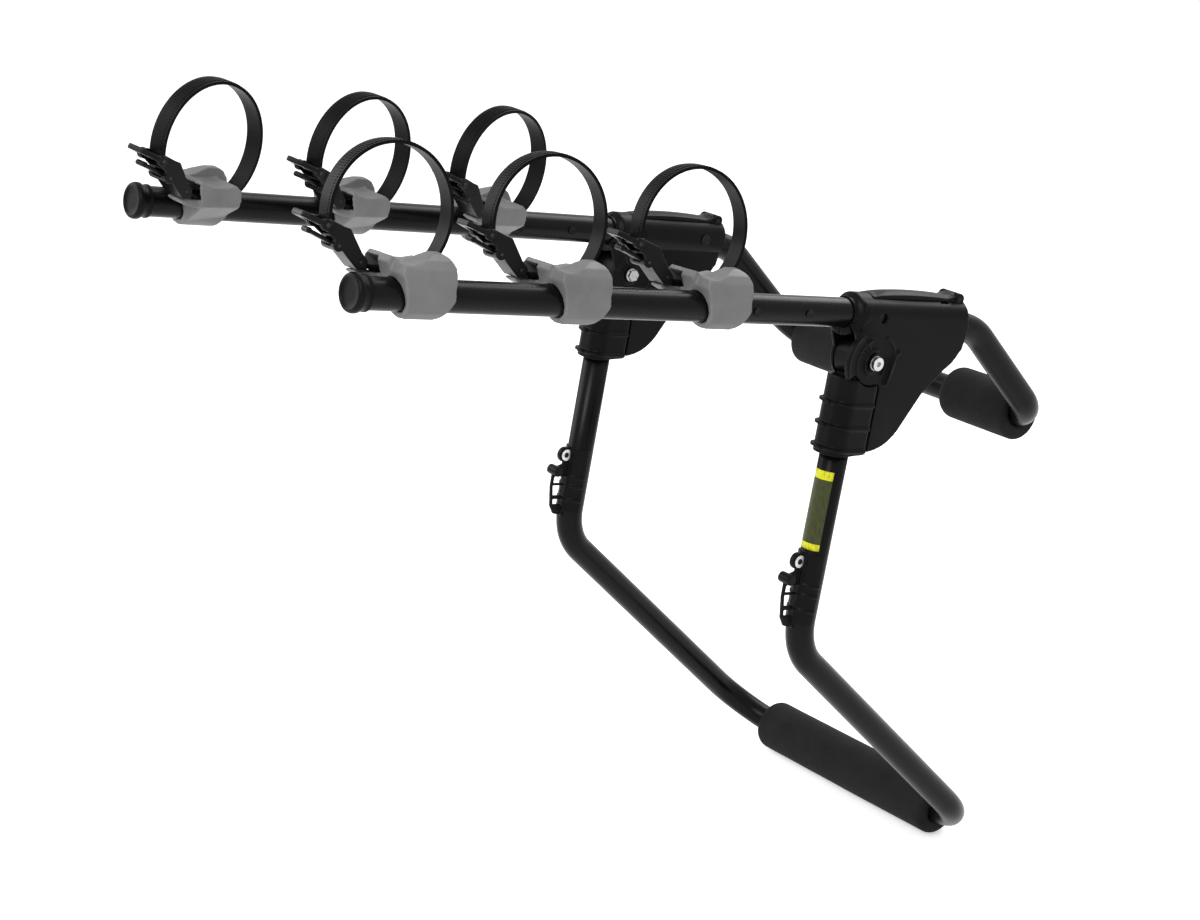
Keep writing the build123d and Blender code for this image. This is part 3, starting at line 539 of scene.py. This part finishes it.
def foam_sleeve(name, node, rest, ends, edges, seed):
    """Foam sleeve on a cross tube: crowned outside, rounded rims, dished end faces and the tube's bore."""
    low, high = ends
    length = high - low
    rings = []
    for place, radius in sleeve_profile(length, edges):
        crown = FOAM_CROWN * math.sin(math.pi * min(1.0, max(0.0, place / length)))
        rings.append(skin_ring(low + place, radius + crown, rest[0], seed))
    for step in range(BORE_STEPS, -1, -1):
        place = BORE_INSET + (length - 2 * BORE_INSET) * step / BORE_STEPS
        rings.append(bore_ring(low + place, *rest))
    verts = [vert for ring in rings for vert in ring]
    pad = mesh_object(name, verts, ring_faces(len(rings), FOAM_AROUND, closed=True), FOAM)
    outward(pad)
    stand_in(pad, node)


foam_sleeve(
    "foam_lower", "lower_foam", LOWER_REST, (-LOWER_FOAM_HALF, LOWER_FOAM_HALF),
    (LOWER_RIM, LOWER_RIM), seed=0.0,
)
foam_sleeve(
    "foam_upper_right", "upper_foam_right", UPPER_REST, UPPER_FOAM_ENDS, (INNER_RIM, OUTER_RIM), seed=7.3,
)
foam_sleeve(
    "foam_upper_left", "upper_foam_left", UPPER_REST, (-UPPER_FOAM_ENDS[1], -UPPER_FOAM_ENDS[0]),
    (OUTER_RIM, INNER_RIM), seed=14.6,
)


# Cradles
CRADLE_VOXEL = 0.9
CRADLE_ROUNDS = 5
for side in SIDES:
    for station in STATIONS:
        node = f"cradle_{station}_{side}"
        cradle = moulded(merged_copy(node, f"soft_{node}", CRADLE), CRADLE_VOXEL, CRADLE_ROUNDS)
        stand_in(cradle, node)


# Places on the arm and on the leg
def arm_point(along, up=0.0):
    """Side view place by its distance along and above the arm."""
    return (
        -along * math.cos(ARM_TILT) + up * math.sin(ARM_TILT),
        ARM_HEIGHT + along * math.sin(ARM_TILT) + up * math.cos(ARM_TILT),
    )


def along_and_up(vert):
    """Distance of a vertex along and above the arm."""
    y, z = vert.co.y / MM, vert.co.z / MM - ARM_HEIGHT
    return (
        -y * math.cos(ARM_TILT) + z * math.sin(ARM_TILT),
        y * math.sin(ARM_TILT) + z * math.cos(ARM_TILT),
    )


def leg_point(down, out):
    """Side view place by its depth down the leg and its distance out in front of it."""
    front = LEG_OFFSET + out
    return (
        -down * math.sin(LEG_LEAN) - front * math.cos(LEG_LEAN),
        -down * math.cos(LEG_LEAN) + front * math.sin(LEG_LEAN),
    )


def down_and_out(vert):
    """Depth of a vertex down the leg and its distance out in front of it."""
    y, z = vert.co.y / MM, vert.co.z / MM
    return (
        -y * math.sin(LEG_LEAN) - z * math.cos(LEG_LEAN),
        -y * math.cos(LEG_LEAN) + z * math.sin(LEG_LEAN) - LEG_OFFSET,
    )


def slide_down_leg(vert, shift):
    """Move a vertex down along the leg."""
    vert.co.y -= shift * math.sin(LEG_LEAN) * MM
    vert.co.z -= shift * math.cos(LEG_LEAN) * MM


def round_at(middle, radius, count=32):
    """Side view outline of a round about a middle."""
    return [
        (middle[0] + radius * math.cos(turn), middle[1] + radius * math.sin(turn))
        for turn in circle_turns(count)
    ]


# Hub covers: the rounded lobe at the foot of the cheeks, and its wall
LOBE = (
    (126.0, 3.0), (124.0, -4.0), (121.0, -11.2), (113.5, -19.2), (105.0, -24.4), (96.0, -28.4),
    (67.3, -46.5), (51.2, -62.5), (37.4, -76.5), (30.8, -81.9), (23.4, -86.2), (16.4, -89.0),
    (9.2, -90.6), (1.8, -91.2), (-5.1, -91.2),
)
LOBE_WALL = ((41.0, -72.8),) + LOBE[8:] + (
    (-5.1, -87.6), (1.6, -87.6), (8.4, -87.0), (15.0, -85.5), (21.6, -82.9), (28.2, -79.0), (34.6, -73.6),
    (36.0, -72.0),
)
# The trim only cuts at the lobe, and runs well clear of the cover elsewhere
COVER_TRIM = ((-60.0, -91.2), (-60.0, 120.0), (200.0, 120.0), (200.0, 14.0), (131.0, 14.0)) + LOBE
COVER_ROOM = 9.0
COVER_LAP = 3.0
INNER_FACE = 2 * HALF_TRACK - HUB_FACE
COVER_VOXEL = 0.75
COVER_ROUNDS = 6

# Skin that carries the outer cheek up round the barrel
SHOULDER_R = HUB_FACE - ARM_X
SHOULDER_BORE_R = 20.0
SHOULDER_FOOT = -11.0
SHOULDER_TURN = 5.2
SHOULDER_STEPS = 10
SHOULDER_FLAT_STEPS = 3
SHOULDER_DROP = 2.3
SHOULDER_ENDS = (11.0, 0.6 - BARREL_BACK)
RECESS_ALONG = -12.8
RECESS_R = 4.8
RECESS_FLOOR = 10.0
RECESS_OVER = 6.0


def shoulder():
    """Section of the shoulder skin, across and up from the arm's axis."""
    section = [(SHOULDER_R, SHOULDER_FOOT), (SHOULDER_R, 0.0)]
    for step in range(1, SHOULDER_STEPS + 1):
        turn = math.radians(SHOULDER_TURN * step)
        past = max(0.0, (step - SHOULDER_FLAT_STEPS) / (SHOULDER_STEPS - SHOULDER_FLAT_STEPS))
        radius = SHOULDER_R - SHOULDER_DROP * past ** 1.5
        section.append((radius * math.cos(turn), radius * math.sin(turn)))
    for step in range(SHOULDER_STEPS, -1, -1):
        turn = math.radians(SHOULDER_TURN * step)
        section.append((SHOULDER_BORE_R * math.cos(turn), SHOULDER_BORE_R * math.sin(turn)))
    section.append((SHOULDER_BORE_R, SHOULDER_FOOT))
    return section


def recessed_shoulder(sign):
    """Shoulder along the barrel, with a round recess over the hub screw."""
    section = shoulder()
    verts = []
    for along in SHOULDER_ENDS:
        for across, up in section:
            verts.append(Vector((sign * (ARM_X + across), *arm_point(along, up))) * MM)
    skin = block("shoulder_block", verts, end_and_side_faces(len(section)))
    ring = round_at(arm_point(RECESS_ALONG), RECESS_R, count=24)
    hole = block("recess_tool", *prism(ring, ARM_X + RECESS_FLOOR, HUB_FACE + RECESS_OVER, sign))
    boolean(skin, hole, "DIFFERENCE")
    verts = [vert.co.copy() for vert in skin.data.vertices]
    faces = [tuple(face.vertices) for face in skin.data.polygons]
    bpy.data.objects.remove(skin)
    return verts, faces


def arc_band(radius, wall, first, last, steps=18):
    """Side view outline of a curved rim about the pivot."""
    turns = [math.radians(first + (last - first) * step / steps) for step in range(steps + 1)]
    outer = [(radius * math.cos(turn), radius * math.sin(turn)) for turn in turns]
    core = radius - wall
    inner = [(core * math.cos(turn), core * math.sin(turn)) for turn in reversed(turns)]
    return outer + inner


def rib(start, end, wall):
    """Side view outline of a straight rib between two places."""
    run = Vector((end[0] - start[0], end[1] - start[1])).normalized() * wall / 2
    beside = (-run[1], run[0])
    return [
        (start[0] + beside[0], start[1] + beside[1]), (end[0] + beside[0], end[1] + beside[1]),
        (end[0] - beside[0], end[1] - beside[1]), (start[0] - beside[0], start[1] - beside[1]),
    ]


# Raised forms on the outer cheek, rims and ribs, with the X places of their roots and tops
RIM_ROOT = 203.2
RIB_ROOT = 204.5
CHEEK_FORMS = (
    (arc_band(36.4, 11.4, 118.0, 196.0), RIM_ROOT, 207.4),
    (arc_band(36.4, 3.0, 118.0, 196.0), RIM_ROOT, 208.8),
    (arc_band(25.0, 2.6, 96.0, 205.0), RIB_ROOT, 208.4),
    (arc_band(14.2, 2.6, 60.0, 240.0), RIB_ROOT, 208.2),
    (rib((28.0, 2.0), (15.6, -26.0), 3.2), RIB_ROOT, 208.6),
    (rib((28.0, 2.0), (35.0, 4.0), 3.2), RIB_ROOT, 208.2),
    (rib((17.4, 0.5), (9.6, -15.0), 2.4), RIB_ROOT, 207.6),
)

# Front of the barrel, by distance along the arm
NOSE_START = 4.0
NOSE_SLOPE = 8.0
NOSE_RUN = 9.5
NOSE_FLOOR = -16.0
NOSE_DROP = 6.8
NOSE_ROOM = 2.0


def rounded_nose(piece, centre_x):
    """Draw the front of the barrel back and round it over the arm."""
    for vert in piece.data.vertices:
        along, up = along_and_up(vert)
        across = vert.co.x / MM - centre_x
        if along < NOSE_START or up < NOSE_FLOOR:
            continue
        most = BARREL_R + NOSE_ROOM
        if along >= NOSE_SLOPE:
            most -= NOSE_DROP * min(1.0, (along - NOSE_SLOPE) / NOSE_RUN) ** 2.2
        reach = math.hypot(across, up)
        if reach > most:
            across, up = across * most / reach, up * most / reach
            vert.co = Vector((centre_x + across, *arm_point(along, up))) * MM
    piece.data.update()


def outer_cover(side, sign):
    """Outer hub cover with its lobe's wall, shoulder and raised forms, before moulding."""
    piece = merged_copy(f"hub_outer_cover_{side}", f"moulded_hub_outer_{side}", HUB)
    trim(piece, COVER_TRIM, ARM_X - COVER_LAP, HUB_FACE + COVER_ROOM, sign)
    add_body(piece, *prism(LOBE_WALL, ARM_X, HUB_FACE, sign))
    add_body(piece, *recessed_shoulder(sign))
    for outline, low, high in CHEEK_FORMS:
        add_body(piece, *prism(outline, low, high, sign))
    return piece


def inner_cover(side, sign):
    """Inner hub cover with its lobe's wall, before moulding."""
    piece = merged_copy(f"hub_inner_cover_{side}", f"moulded_hub_inner_{side}", HUB)
    trim(piece, COVER_TRIM, INNER_FACE - COVER_ROOM, ARM_X + COVER_LAP, sign)
    add_body(piece, *prism(LOBE_WALL, INNER_FACE, ARM_X, sign))
    return piece


def hub_covers(side, sign):
    """Both moulded covers of one hub."""
    covers = {
        f"hub_outer_cover_{side}": outer_cover(side, sign),
        f"hub_inner_cover_{side}": inner_cover(side, sign),
    }
    for node, piece in covers.items():
        moulded(piece, COVER_VOXEL, COVER_ROUNDS)
        rounded_nose(piece, sign * ARM_X)
        stand_in(piece, node)


# Release paddle, by distance back along the arm
PADDLE_VOXEL = 0.6
PADDLE_ROUNDS = 8
PADDLE_FRONT = 4.0
PADDLE_RUN = 114.0
PADDLE_HINGE = 108.0
PADDLE_HINGE_RUN = 9.0
PADDLE_SEAT_R = BARREL_R + 0.4
PADDLE_END_SHARE = 0.18
PADDLE_CROWN_SHARE = 0.66
PADDLE_HINGE_SHARE = 0.9


def slim_lens(piece, centre_x):
    """Thin the paddle towards both ends, so that its back is a slim lens."""
    for vert in piece.data.vertices:
        along, up = along_and_up(vert)
        across = vert.co.x / MM - centre_x
        back = -along
        share = min(1.0, max(0.0, (back - PADDLE_FRONT) / PADDLE_RUN))
        reach = math.hypot(across, up)
        if back > PADDLE_HINGE + PADDLE_HINGE_RUN or reach < PADDLE_SEAT_R:
            continue
        keep = PADDLE_END_SHARE + PADDLE_CROWN_SHARE * math.sin(math.pi * share) ** 0.8
        if back > PADDLE_HINGE:
            keep += (PADDLE_HINGE_SHARE - keep) * (back - PADDLE_HINGE) / PADDLE_HINGE_RUN
        scale = (PADDLE_SEAT_R + (reach - PADDLE_SEAT_R) * keep) / reach
        vert.co = Vector((centre_x + across * scale, *arm_point(along, up * scale))) * MM
    piece.data.update()


def paddle(side, sign):
    """Slim moulded release paddle."""
    node = f"release_paddle_{side}"
    piece = moulded(merged_copy(node, f"moulded_paddle_{side}", HUB), PADDLE_VOXEL, PADDLE_ROUNDS)
    slim_lens(piece, sign * ARM_X)
    stand_in(piece, node)


# Collar, by depth down the leg
COLLAR_TRIM = (
    leg_point(99.0, 40.0), leg_point(85.5, -40.0), leg_point(-60.0, -70.0), leg_point(-60.0, 60.0),
)
COLLAR_ROOM = 40.0
COLLAR_VOXEL = 0.75
COLLAR_ROUNDS = 5
RIB_DROP = 4.5
RIB_DROP_START = 22.0
RIB_DROP_RUN = 14.0
RIB_DROP_END = 96.0
RIB_DROP_FADE = 9.0


def lower_ribs(piece):
    """Move the collar's ribs down the leg to where the photograph has them."""
    for vert in piece.data.vertices:
        down, _ = down_and_out(vert)
        start = min(1.0, max(0.0, (down - RIB_DROP_START) / RIB_DROP_RUN))
        end = min(1.0, max(0.0, (RIB_DROP_END - down) / RIB_DROP_FADE))
        slide_down_leg(vert, RIB_DROP * start * start * (3 - 2 * start) * end)
    piece.data.update()


def collar(side, sign):
    """Moulded collar that takes the leg, with a slanted foot."""
    node = f"leg_socket_{side}"
    piece = merged_copy(node, f"moulded_socket_{side}", HUB)
    trim(piece, COLLAR_TRIM, HALF_TRACK - COLLAR_ROOM, HALF_TRACK + COLLAR_ROOM, sign)
    moulded(piece, COLLAR_VOXEL, COLLAR_ROUNDS)
    lower_ribs(piece)
    stand_in(piece, node)


for side, sign in SIDES.items():
    hub_covers(side, sign)
    paddle(side, sign)
    collar(side, sign)


# Ladder brackets, as places down the leg and out in front of it: the plate's head, its rail and its rungs
LADDER_FORMS = (
    ((196.5, 12.0), (196.5, 20.0), (215.4, 21.6), (219.0, 31.4), (229.5, 33.2), (229.5, 14.9)),
    ((228.0, 30.6), (228.0, 33.4), (241.0, 33.2), (263.0, 29.2), (271.5, 23.4), (273.0, 14.9), (268.0, 14.9),
     (261.5, 26.6), (241.0, 30.6)),
    ((237.0, 14.9), (237.0, 31.5), (239.5, 31.5), (239.5, 14.9)),
    ((251.0, 14.9), (251.0, 29.5), (255.0, 29.0), (255.0, 14.9)),
    ((261.0, 14.9), (261.0, 28.0), (268.0, 24.0), (272.0, 14.9)),
)
SADDLE_TRIM = (
    leg_point(190.0, 18.4), leg_point(190.0, -30.0), leg_point(280.0, -30.0), leg_point(280.0, 18.4),
)
SADDLE_ROOM = 30.0
SADDLE_BORE_R = TUBE_R + 0.4
SADDLE_THIN_SHARE = 0.5
PLATE_HALF = 1.8
EYELET_R = 8.4
EYELET_HALF = 2.7
BAR_R = 5.5
BAR_HALF = 7.6
LADDER_VOXEL = 0.5
LADDER_ROUNDS = 3


def slim_saddle(piece, centre_x):
    """Thin the saddle of the ladder down towards the leg."""
    for vert in piece.data.vertices:
        down, out = down_and_out(vert)
        across = vert.co.x / MM - centre_x
        reach = math.hypot(across, out)
        if reach > SADDLE_BORE_R:
            scale = (SADDLE_BORE_R + (reach - SADDLE_BORE_R) * SADDLE_THIN_SHARE) / reach
            vert.co = Vector((centre_x + across * scale, *leg_point(down, out * scale))) * MM
    piece.data.update()


def ladder_bracket(side, sign):
    """Ladder whose thin plate has slots that are seen through."""
    node = f"ladder_bracket_{side}"
    piece = merged_copy(node, f"moulded_ladder_{side}", LADDER)
    trim(piece, SADDLE_TRIM, HALF_TRACK - SADDLE_ROOM, HALF_TRACK + SADDLE_ROOM, sign)
    slim_saddle(piece, sign * HALF_TRACK)
    forms = [([leg_point(*place) for place in places], PLATE_HALF) for places in LADDER_FORMS]
    forms.append((round_at(leg_point(*EYELET), EYELET_R), EYELET_HALF))
    forms.append((round_at(leg_point(*LADDER_BAR), BAR_R), BAR_HALF))
    for outline, half in forms:
        add_body(piece, *prism(outline, HALF_TRACK - half, HALF_TRACK + half, sign))
    moulded(piece, LADDER_VOXEL, LADDER_ROUNDS)
    stand_in(piece, node)


for side, sign in SIDES.items():
    ladder_bracket(side, sign)

SCREW_DRAWN_SHARE = 0.55
SCREW_HEAD_SHARE = 1.12
SCREW_SHANK_R = 4.0
# Radius about each screw's axis inside which the socket's shade is painted black
SOCKET_SHADE_R = 3.1


def ring_screws():
    """Ladder screws drawn in to the thin plate, with the shade inside their sockets painted black."""
    piece = merged_copy("ladder_screws", "ringed_ladder_screws", STEEL)
    piece.data.materials.append(BLACK_STEEL_AND_SOCKET_SHADE)
    middle = leg_point(*EYELET)
    for vert in piece.data.vertices:
        centre_x = math.copysign(HALF_TRACK, vert.co.x)
        vert.co.x = (centre_x + (vert.co.x / MM - centre_x) * SCREW_DRAWN_SHARE) * MM
        y, z = vert.co.y / MM - middle[0], vert.co.z / MM - middle[1]
        scale = SCREW_HEAD_SHARE if math.hypot(y, z) > SCREW_SHANK_R else 1.0
        vert.co.y, vert.co.z = (middle[0] + y * scale) * MM, (middle[1] + z * scale) * MM
    # Painted shade: faces near each screw's axis, in its socket, take the black steel
    for face in piece.data.polygons:
        y, z = face.center.y / MM - middle[0], face.center.z / MM - middle[1]
        if math.hypot(y, z) < SOCKET_SHADE_R:
            face.material_index = 1
    piece.data.update()
    stand_in(piece, "ladder_screws")


ring_screws()


# Lower tube
KNEE_DROP = 7.0
KNEE_FADE = 180.0


def lower_tube():
    """Copy of the lower tube whose knees are moved down the legs while the foot stays."""
    piece = merged_copy("lower_frame_tube", "bent_lower_tube", COAT)
    _, knee_z = leg_point(LEG_LENGTH, 0.0)
    for vert in piece.data.vertices:
        z = vert.co.z / MM
        share = min(1.0, max(0.0, (z - LOWER_FOOT[1]) / (knee_z - LOWER_FOOT[1])))
        if z > knee_z:
            share = max(0.0, 1.0 - (z - knee_z) / KNEE_FADE)
        slide_down_leg(vert, KNEE_DROP * share)
    piece.data.update()
    piece.data.shade_smooth()
    stand_in(piece, "lower_frame_tube")


lower_tube()


# Arm ends, as places along the arm and radii: skirt with a bead, neck, rounded head and dished face
CAP_AROUND = 72
CAP_PROFILE = (
    (566.0, 0.0), (566.0, 6.0), (566.0, 12.4), (574.6, 12.4), (574.8, 14.4), (575.0, 15.2),
    (575.6, 15.7), (577.4, 15.7), (578.0, 15.1), (583.0, 15.1), (583.8, 16.2), (584.8, 16.9),
    (586.4, 17.2), (588.6, 17.1), (590.2, 16.5), (591.2, 15.4), (591.5, 14.0), (591.3, 13.2),
    (590.4, 12.6), (589.9, 11.6), (589.9, 6.0), (589.9, 2.0), (589.9, 0.0),
)


def arm_end_cap(side, sign):
    """Cap turned about the arm's axis, closed at both poles."""
    verts = []
    for along, radius in CAP_PROFILE:
        for turn in circle_turns(CAP_AROUND):
            place = arm_point(along, radius * math.sin(turn))
            verts.append(Vector((sign * ARM_X + radius * math.cos(turn), *place)) * MM)
    faces = ring_faces(len(CAP_PROFILE), CAP_AROUND, closed=False)
    piece = mesh_object(f"moulded_cap_{side}", verts, faces, CAP)
    merge_doubles(piece.data, 0.001 * MM)
    outward(piece)
    stand_in(piece, f"arm_end_cap_{side}")


for side, sign in SIDES.items():
    arm_end_cap(side, sign)


# Buckles, levers and tabs, with how far moulding swells each back out
CLAMP_SWELLS = {"buckle": 0.25, "ratchet_lever": 0.55, "release_tab": 0.4}
CLAMP_VOXEL = 0.5
CLAMP_ROUNDS = 4
for side in SIDES:
    for station in STATIONS:
        for kind, swell in CLAMP_SWELLS.items():
            node = f"{kind}_{station}_{side}"
            piece = moulded(merged_copy(node, f"moulded_{node}", BUCKLE), CLAMP_VOXEL, CLAMP_ROUNDS, swell)
            stand_in(piece, node)


# Teeth of the ratchet straps
TOOTH_SIZES = {
    "Pitch": 2.8 * MM, "Tooth Length": 1.3 * MM, "Tooth Height": 1.0 * MM, "Tooth Width": 13.2 * MM,
}
TEETH_START = -4.0
TEETH_SWEEP = 150.0
TEETH_STEPS = 160


def clamp_place(station, sign):
    """Where the frame of a clamp stands in the rack."""
    middle = Vector((ARM_X, *arm_point(STATION_SHARES[station] * ARM_REACH))) * MM
    place = Matrix.Translation(middle) @ Matrix.Rotation(-ARM_TILT, 4, "X")
    place = place @ Matrix.Rotation(-CLAMP_LEAN, 4, "Y") @ Matrix.Translation((0.0, -SPLAY_CENTRE * MM, 0.0))
    place = place @ Matrix.Rotation(-CLAMP_SPLAY, 4, "Z")
    place = place @ Matrix.Translation((-CLAMP_INSET * MM, SPLAY_CENTRE * MM, 0.0))
    return Matrix.Diagonal((sign, 1.0, 1.0, 1.0)) @ place


def tooth_tree():
    """Geometry Nodes tree that sets cross bars along a path."""
    tree = bpy.data.node_groups.new("strap_teeth", "GeometryNodeTree")
    sockets = tree.interface
    sockets.new_socket("Path", in_out="INPUT", socket_type="NodeSocketGeometry")
    for size_name, value in TOOTH_SIZES.items():
        socket = sockets.new_socket(size_name, in_out="INPUT", socket_type="NodeSocketFloat")
        socket.default_value = value
    sockets.new_socket("Teeth", in_out="OUTPUT", socket_type="NodeSocketGeometry")
    nodes, links = tree.nodes, tree.links
    entry = nodes.new("NodeGroupInput")
    leave = nodes.new("NodeGroupOutput")
    curve = nodes.new("GeometryNodeMeshToCurve")
    points = nodes.new("GeometryNodeCurveToPoints")
    points.mode = "LENGTH"
    size = nodes.new("ShaderNodeCombineXYZ")
    tooth = nodes.new("GeometryNodeMeshCube")
    place = nodes.new("GeometryNodeInstanceOnPoints")
    real = nodes.new("GeometryNodeRealizeInstances")
    paint = nodes.new("GeometryNodeSetMaterial")
    paint.inputs["Material"].default_value = STRAP
    links.new(entry.outputs["Path"], curve.inputs["Mesh"])
    links.new(curve.outputs["Curve"], points.inputs["Curve"])
    links.new(entry.outputs["Pitch"], points.inputs["Length"])
    links.new(entry.outputs["Tooth Width"], size.inputs["X"])
    links.new(entry.outputs["Tooth Height"], size.inputs["Y"])
    links.new(entry.outputs["Tooth Length"], size.inputs["Z"])
    links.new(size.outputs["Vector"], tooth.inputs["Size"])
    links.new(points.outputs["Points"], place.inputs["Points"])
    links.new(tooth.outputs["Mesh"], place.inputs["Instance"])
    links.new(points.outputs["Rotation"], place.inputs["Rotation"])
    links.new(place.outputs["Instances"], real.inputs["Geometry"])
    links.new(real.outputs["Geometry"], paint.inputs["Geometry"])
    links.new(paint.outputs["Geometry"], leave.inputs["Teeth"])
    return tree


TOOTH_TREE = tooth_tree()


def strap_teeth(station, side, sign):
    """Ratchet teeth on the outer face of one strap's loop, from its buckle over the top."""
    verts = []
    for step in range(TEETH_STEPS + 1):
        turn = math.radians(TEETH_START + TEETH_SWEEP * step / TEETH_STEPS)
        out = LOOP_CENTRE[0] + LOOP_RADII[0] * math.cos(turn)
        up = LOOP_CENTRE[1] + LOOP_RADII[1] * math.sin(turn)
        verts.append(Vector((0.0, -out, up)) * MM)
    name = f"strap_teeth_{station}_{side}"
    mesh = bpy.data.meshes.new(name)
    mesh.from_pydata([tuple(vert) for vert in verts], [(i, i + 1) for i in range(TEETH_STEPS)], [])
    piece = bpy.data.objects.new(name, mesh)
    bpy.context.scene.collection.objects.link(piece)
    teeth = piece.modifiers.new("teeth", "NODES")
    teeth.node_group = TOOTH_TREE
    bake(piece)
    piece.data.transform(clamp_place(station, sign))
    if not piece.data.materials:
        piece.data.materials.append(STRAP)
    outward(piece)
    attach(piece, "rack")


for side, sign in SIDES.items():
    for station in STATIONS:
        strap_teeth(station, side, sign)


# Label on the right leg
LABEL_ENDS = (112.0, 192.2)
LABEL_TURNS = (-35.0, 60.0)
LABEL_SKINS = (TUBE_R + 0.12, TUBE_R + 0.30)
LABEL_COLUMNS = 24
LABEL_ROWS = 20


def label():
    """Thin film wrapped part of the way round the front and outer side of the leg."""
    (top, bottom), (first, last) = LABEL_ENDS, LABEL_TURNS
    verts, faces, uvs = [], [], []
    for radius in LABEL_SKINS:
        for row in range(LABEL_ROWS + 1):
            down = top + (bottom - top) * row / LABEL_ROWS
            for column in range(LABEL_COLUMNS + 1):
                turn = math.radians(first + (last - first) * column / LABEL_COLUMNS)
                place = leg_point(down, radius * math.cos(turn))
                verts.append(Vector((HALF_TRACK + radius * math.sin(turn), *place)) * MM)
                uvs.append((column / LABEL_COLUMNS, 1 - row / LABEL_ROWS))
    wide = LABEL_COLUMNS + 1
    sheet = (LABEL_ROWS + 1) * wide
    for row in range(LABEL_ROWS):
        for column in range(LABEL_COLUMNS):
            a = row * wide + column
            quad = (a, a + 1, a + wide + 1, a + wide)
            faces.append(quad)
            faces.append(tuple(sheet + i for i in reversed(quad)))
    rim = list(range(wide)) + [row * wide + LABEL_COLUMNS for row in range(1, LABEL_ROWS + 1)]
    rim += [LABEL_ROWS * wide + column for column in range(LABEL_COLUMNS - 1, -1, -1)]
    rim += [row * wide for row in range(LABEL_ROWS - 1, 0, -1)]
    for a, b in zip(rim, rim[1:] + rim[:1]):
        faces.append((a, b, sheet + b, sheet + a))
    piece = mesh_object("leg_label", verts, faces, LABEL)
    layer = piece.data.uv_layers.new(name="film")
    for loop in piece.data.loops:
        layer.data[loop.index].uv = uvs[loop.vertex_index]
    outward(piece)
    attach(piece, "lower_frame")


label()


# Floor, light and camera, in metres
FLOOR_HALF = 14.0
FLOOR_GAP = 0.002
FLOOR_LIFT = 0.5
WORLD_LIGHT = 0.6
WORLD_WHITE = 1.0
CAMERA_PLACE = Vector((1.9059, -1.6690, 0.7991))
CAMERA_AZIMUTH = math.radians(51.87)
CAMERA_ELEVATION = math.radians(20.79)
CAMERA_FAR = 60.0
SENSOR = 36.0
FOCAL_PIXELS = 2600.0
PHOTO_WIDTH = 1200.0


def area_light(name, place, aim, size, power):
    """Soft square light aimed at a point."""
    data = bpy.data.lights.new(name, "AREA")
    data.size = size
    data.energy = power
    lamp = bpy.data.objects.new(name, data)
    lamp.location = place
    lamp.rotation_euler = (Vector(aim) - Vector(place)).to_track_quat("-Z", "Y").to_euler()
    bpy.context.scene.collection.objects.link(lamp)


def seen_straight(tree):
    """1 for rays that come from the camera or off gloss or through glass, and 0 for the rest."""
    path = tree.nodes.new("ShaderNodeLightPath")
    first = tree.nodes.new("ShaderNodeMath")
    first.operation = "MAXIMUM"
    tree.links.new(path.outputs["Is Camera Ray"], first.inputs[0])
    tree.links.new(path.outputs["Is Glossy Ray"], first.inputs[1])
    second = tree.nodes.new("ShaderNodeMath")
    second.operation = "MAXIMUM"
    tree.links.new(first.outputs["Value"], second.inputs[0])
    tree.links.new(path.outputs["Is Transmission Ray"], second.inputs[1])
    return second.outputs["Value"]


def floor_material():
    """Pale plain floor, lifted to white where it is seen straight."""
    material, tree, shader, where = new_material("floor")
    tone = noise_node(tree, where, scale=2.0)
    tree.links.new(ramp(tree, tone, [(0.3, grey(0.87)), (0.7, grey(0.89))]), shader.inputs["Base Color"])
    shader.inputs["Roughness"].default_value = 0.9
    shader.inputs["Specular IOR Level"].default_value = 0.0
    shader.inputs["Emission Color"].default_value = (1.0, 1.0, 1.0, 1.0)
    lift = spread(tree, seen_straight(tree), low=0.0, high=FLOOR_LIFT)
    tree.links.new(lift, shader.inputs["Emission Strength"])
    return material


def floor():
    """Wide pale floor under the rack."""
    height = cad_low[2] - FLOOR_GAP
    corners = ((-1, -1), (1, -1), (1, 1), (-1, 1))
    verts = [(x * FLOOR_HALF, y * FLOOR_HALF, height) for x, y in corners]
    mesh_object("floor", verts, [(0, 1, 2, 3)], floor_material(), smooth=False)


def studio_world():
    """White seen straight, and a softer light on the object."""
    world = bpy.data.worlds.new("studio")
    world.use_nodes = True
    tree = world.node_tree
    backdrop = tree.nodes["Background"]
    backdrop.inputs["Color"].default_value = (1.0, 1.0, 1.0, 1.0)
    strength = spread(tree, seen_straight(tree), low=WORLD_LIGHT, high=WORLD_WHITE)
    tree.links.new(strength, backdrop.inputs["Strength"])
    bpy.context.scene.world = world


def photo_camera():
    """Camera at the photograph's viewing place."""
    data = bpy.data.cameras.new("photo_camera")
    data.sensor_width = SENSOR
    data.lens = SENSOR * FOCAL_PIXELS / PHOTO_WIDTH
    data.clip_end = CAMERA_FAR
    camera = bpy.data.objects.new("photo_camera", data)
    right = Vector((math.cos(CAMERA_AZIMUTH), math.sin(CAMERA_AZIMUTH), 0.0))
    ahead = Vector((
        -math.sin(CAMERA_AZIMUTH) * math.cos(CAMERA_ELEVATION),
        math.cos(CAMERA_AZIMUTH) * math.cos(CAMERA_ELEVATION),
        -math.sin(CAMERA_ELEVATION),
    ))
    turn = Matrix((right, right.cross(ahead), -ahead)).transposed()
    camera.matrix_world = Matrix.Translation(CAMERA_PLACE) @ turn.to_4x4()
    bpy.context.scene.collection.objects.link(camera)
    bpy.context.scene.camera = camera


floor()
studio_world()
area_light("key", (1.2, -2.4, 2.4), aim=(0.0, -0.1, -0.1), size=1.6, power=75.0)
area_light("fill", (-2.6, -1.6, 1.2), aim=(0.0, 0.0, -0.1), size=2.0, power=40.0)
area_light("back", (-0.6, 2.6, 2.0), aim=(0.0, 0.0, 0.0), size=1.8, power=55.0)
photo_camera()
bpy.context.scene.view_settings.view_transform = "Standard"
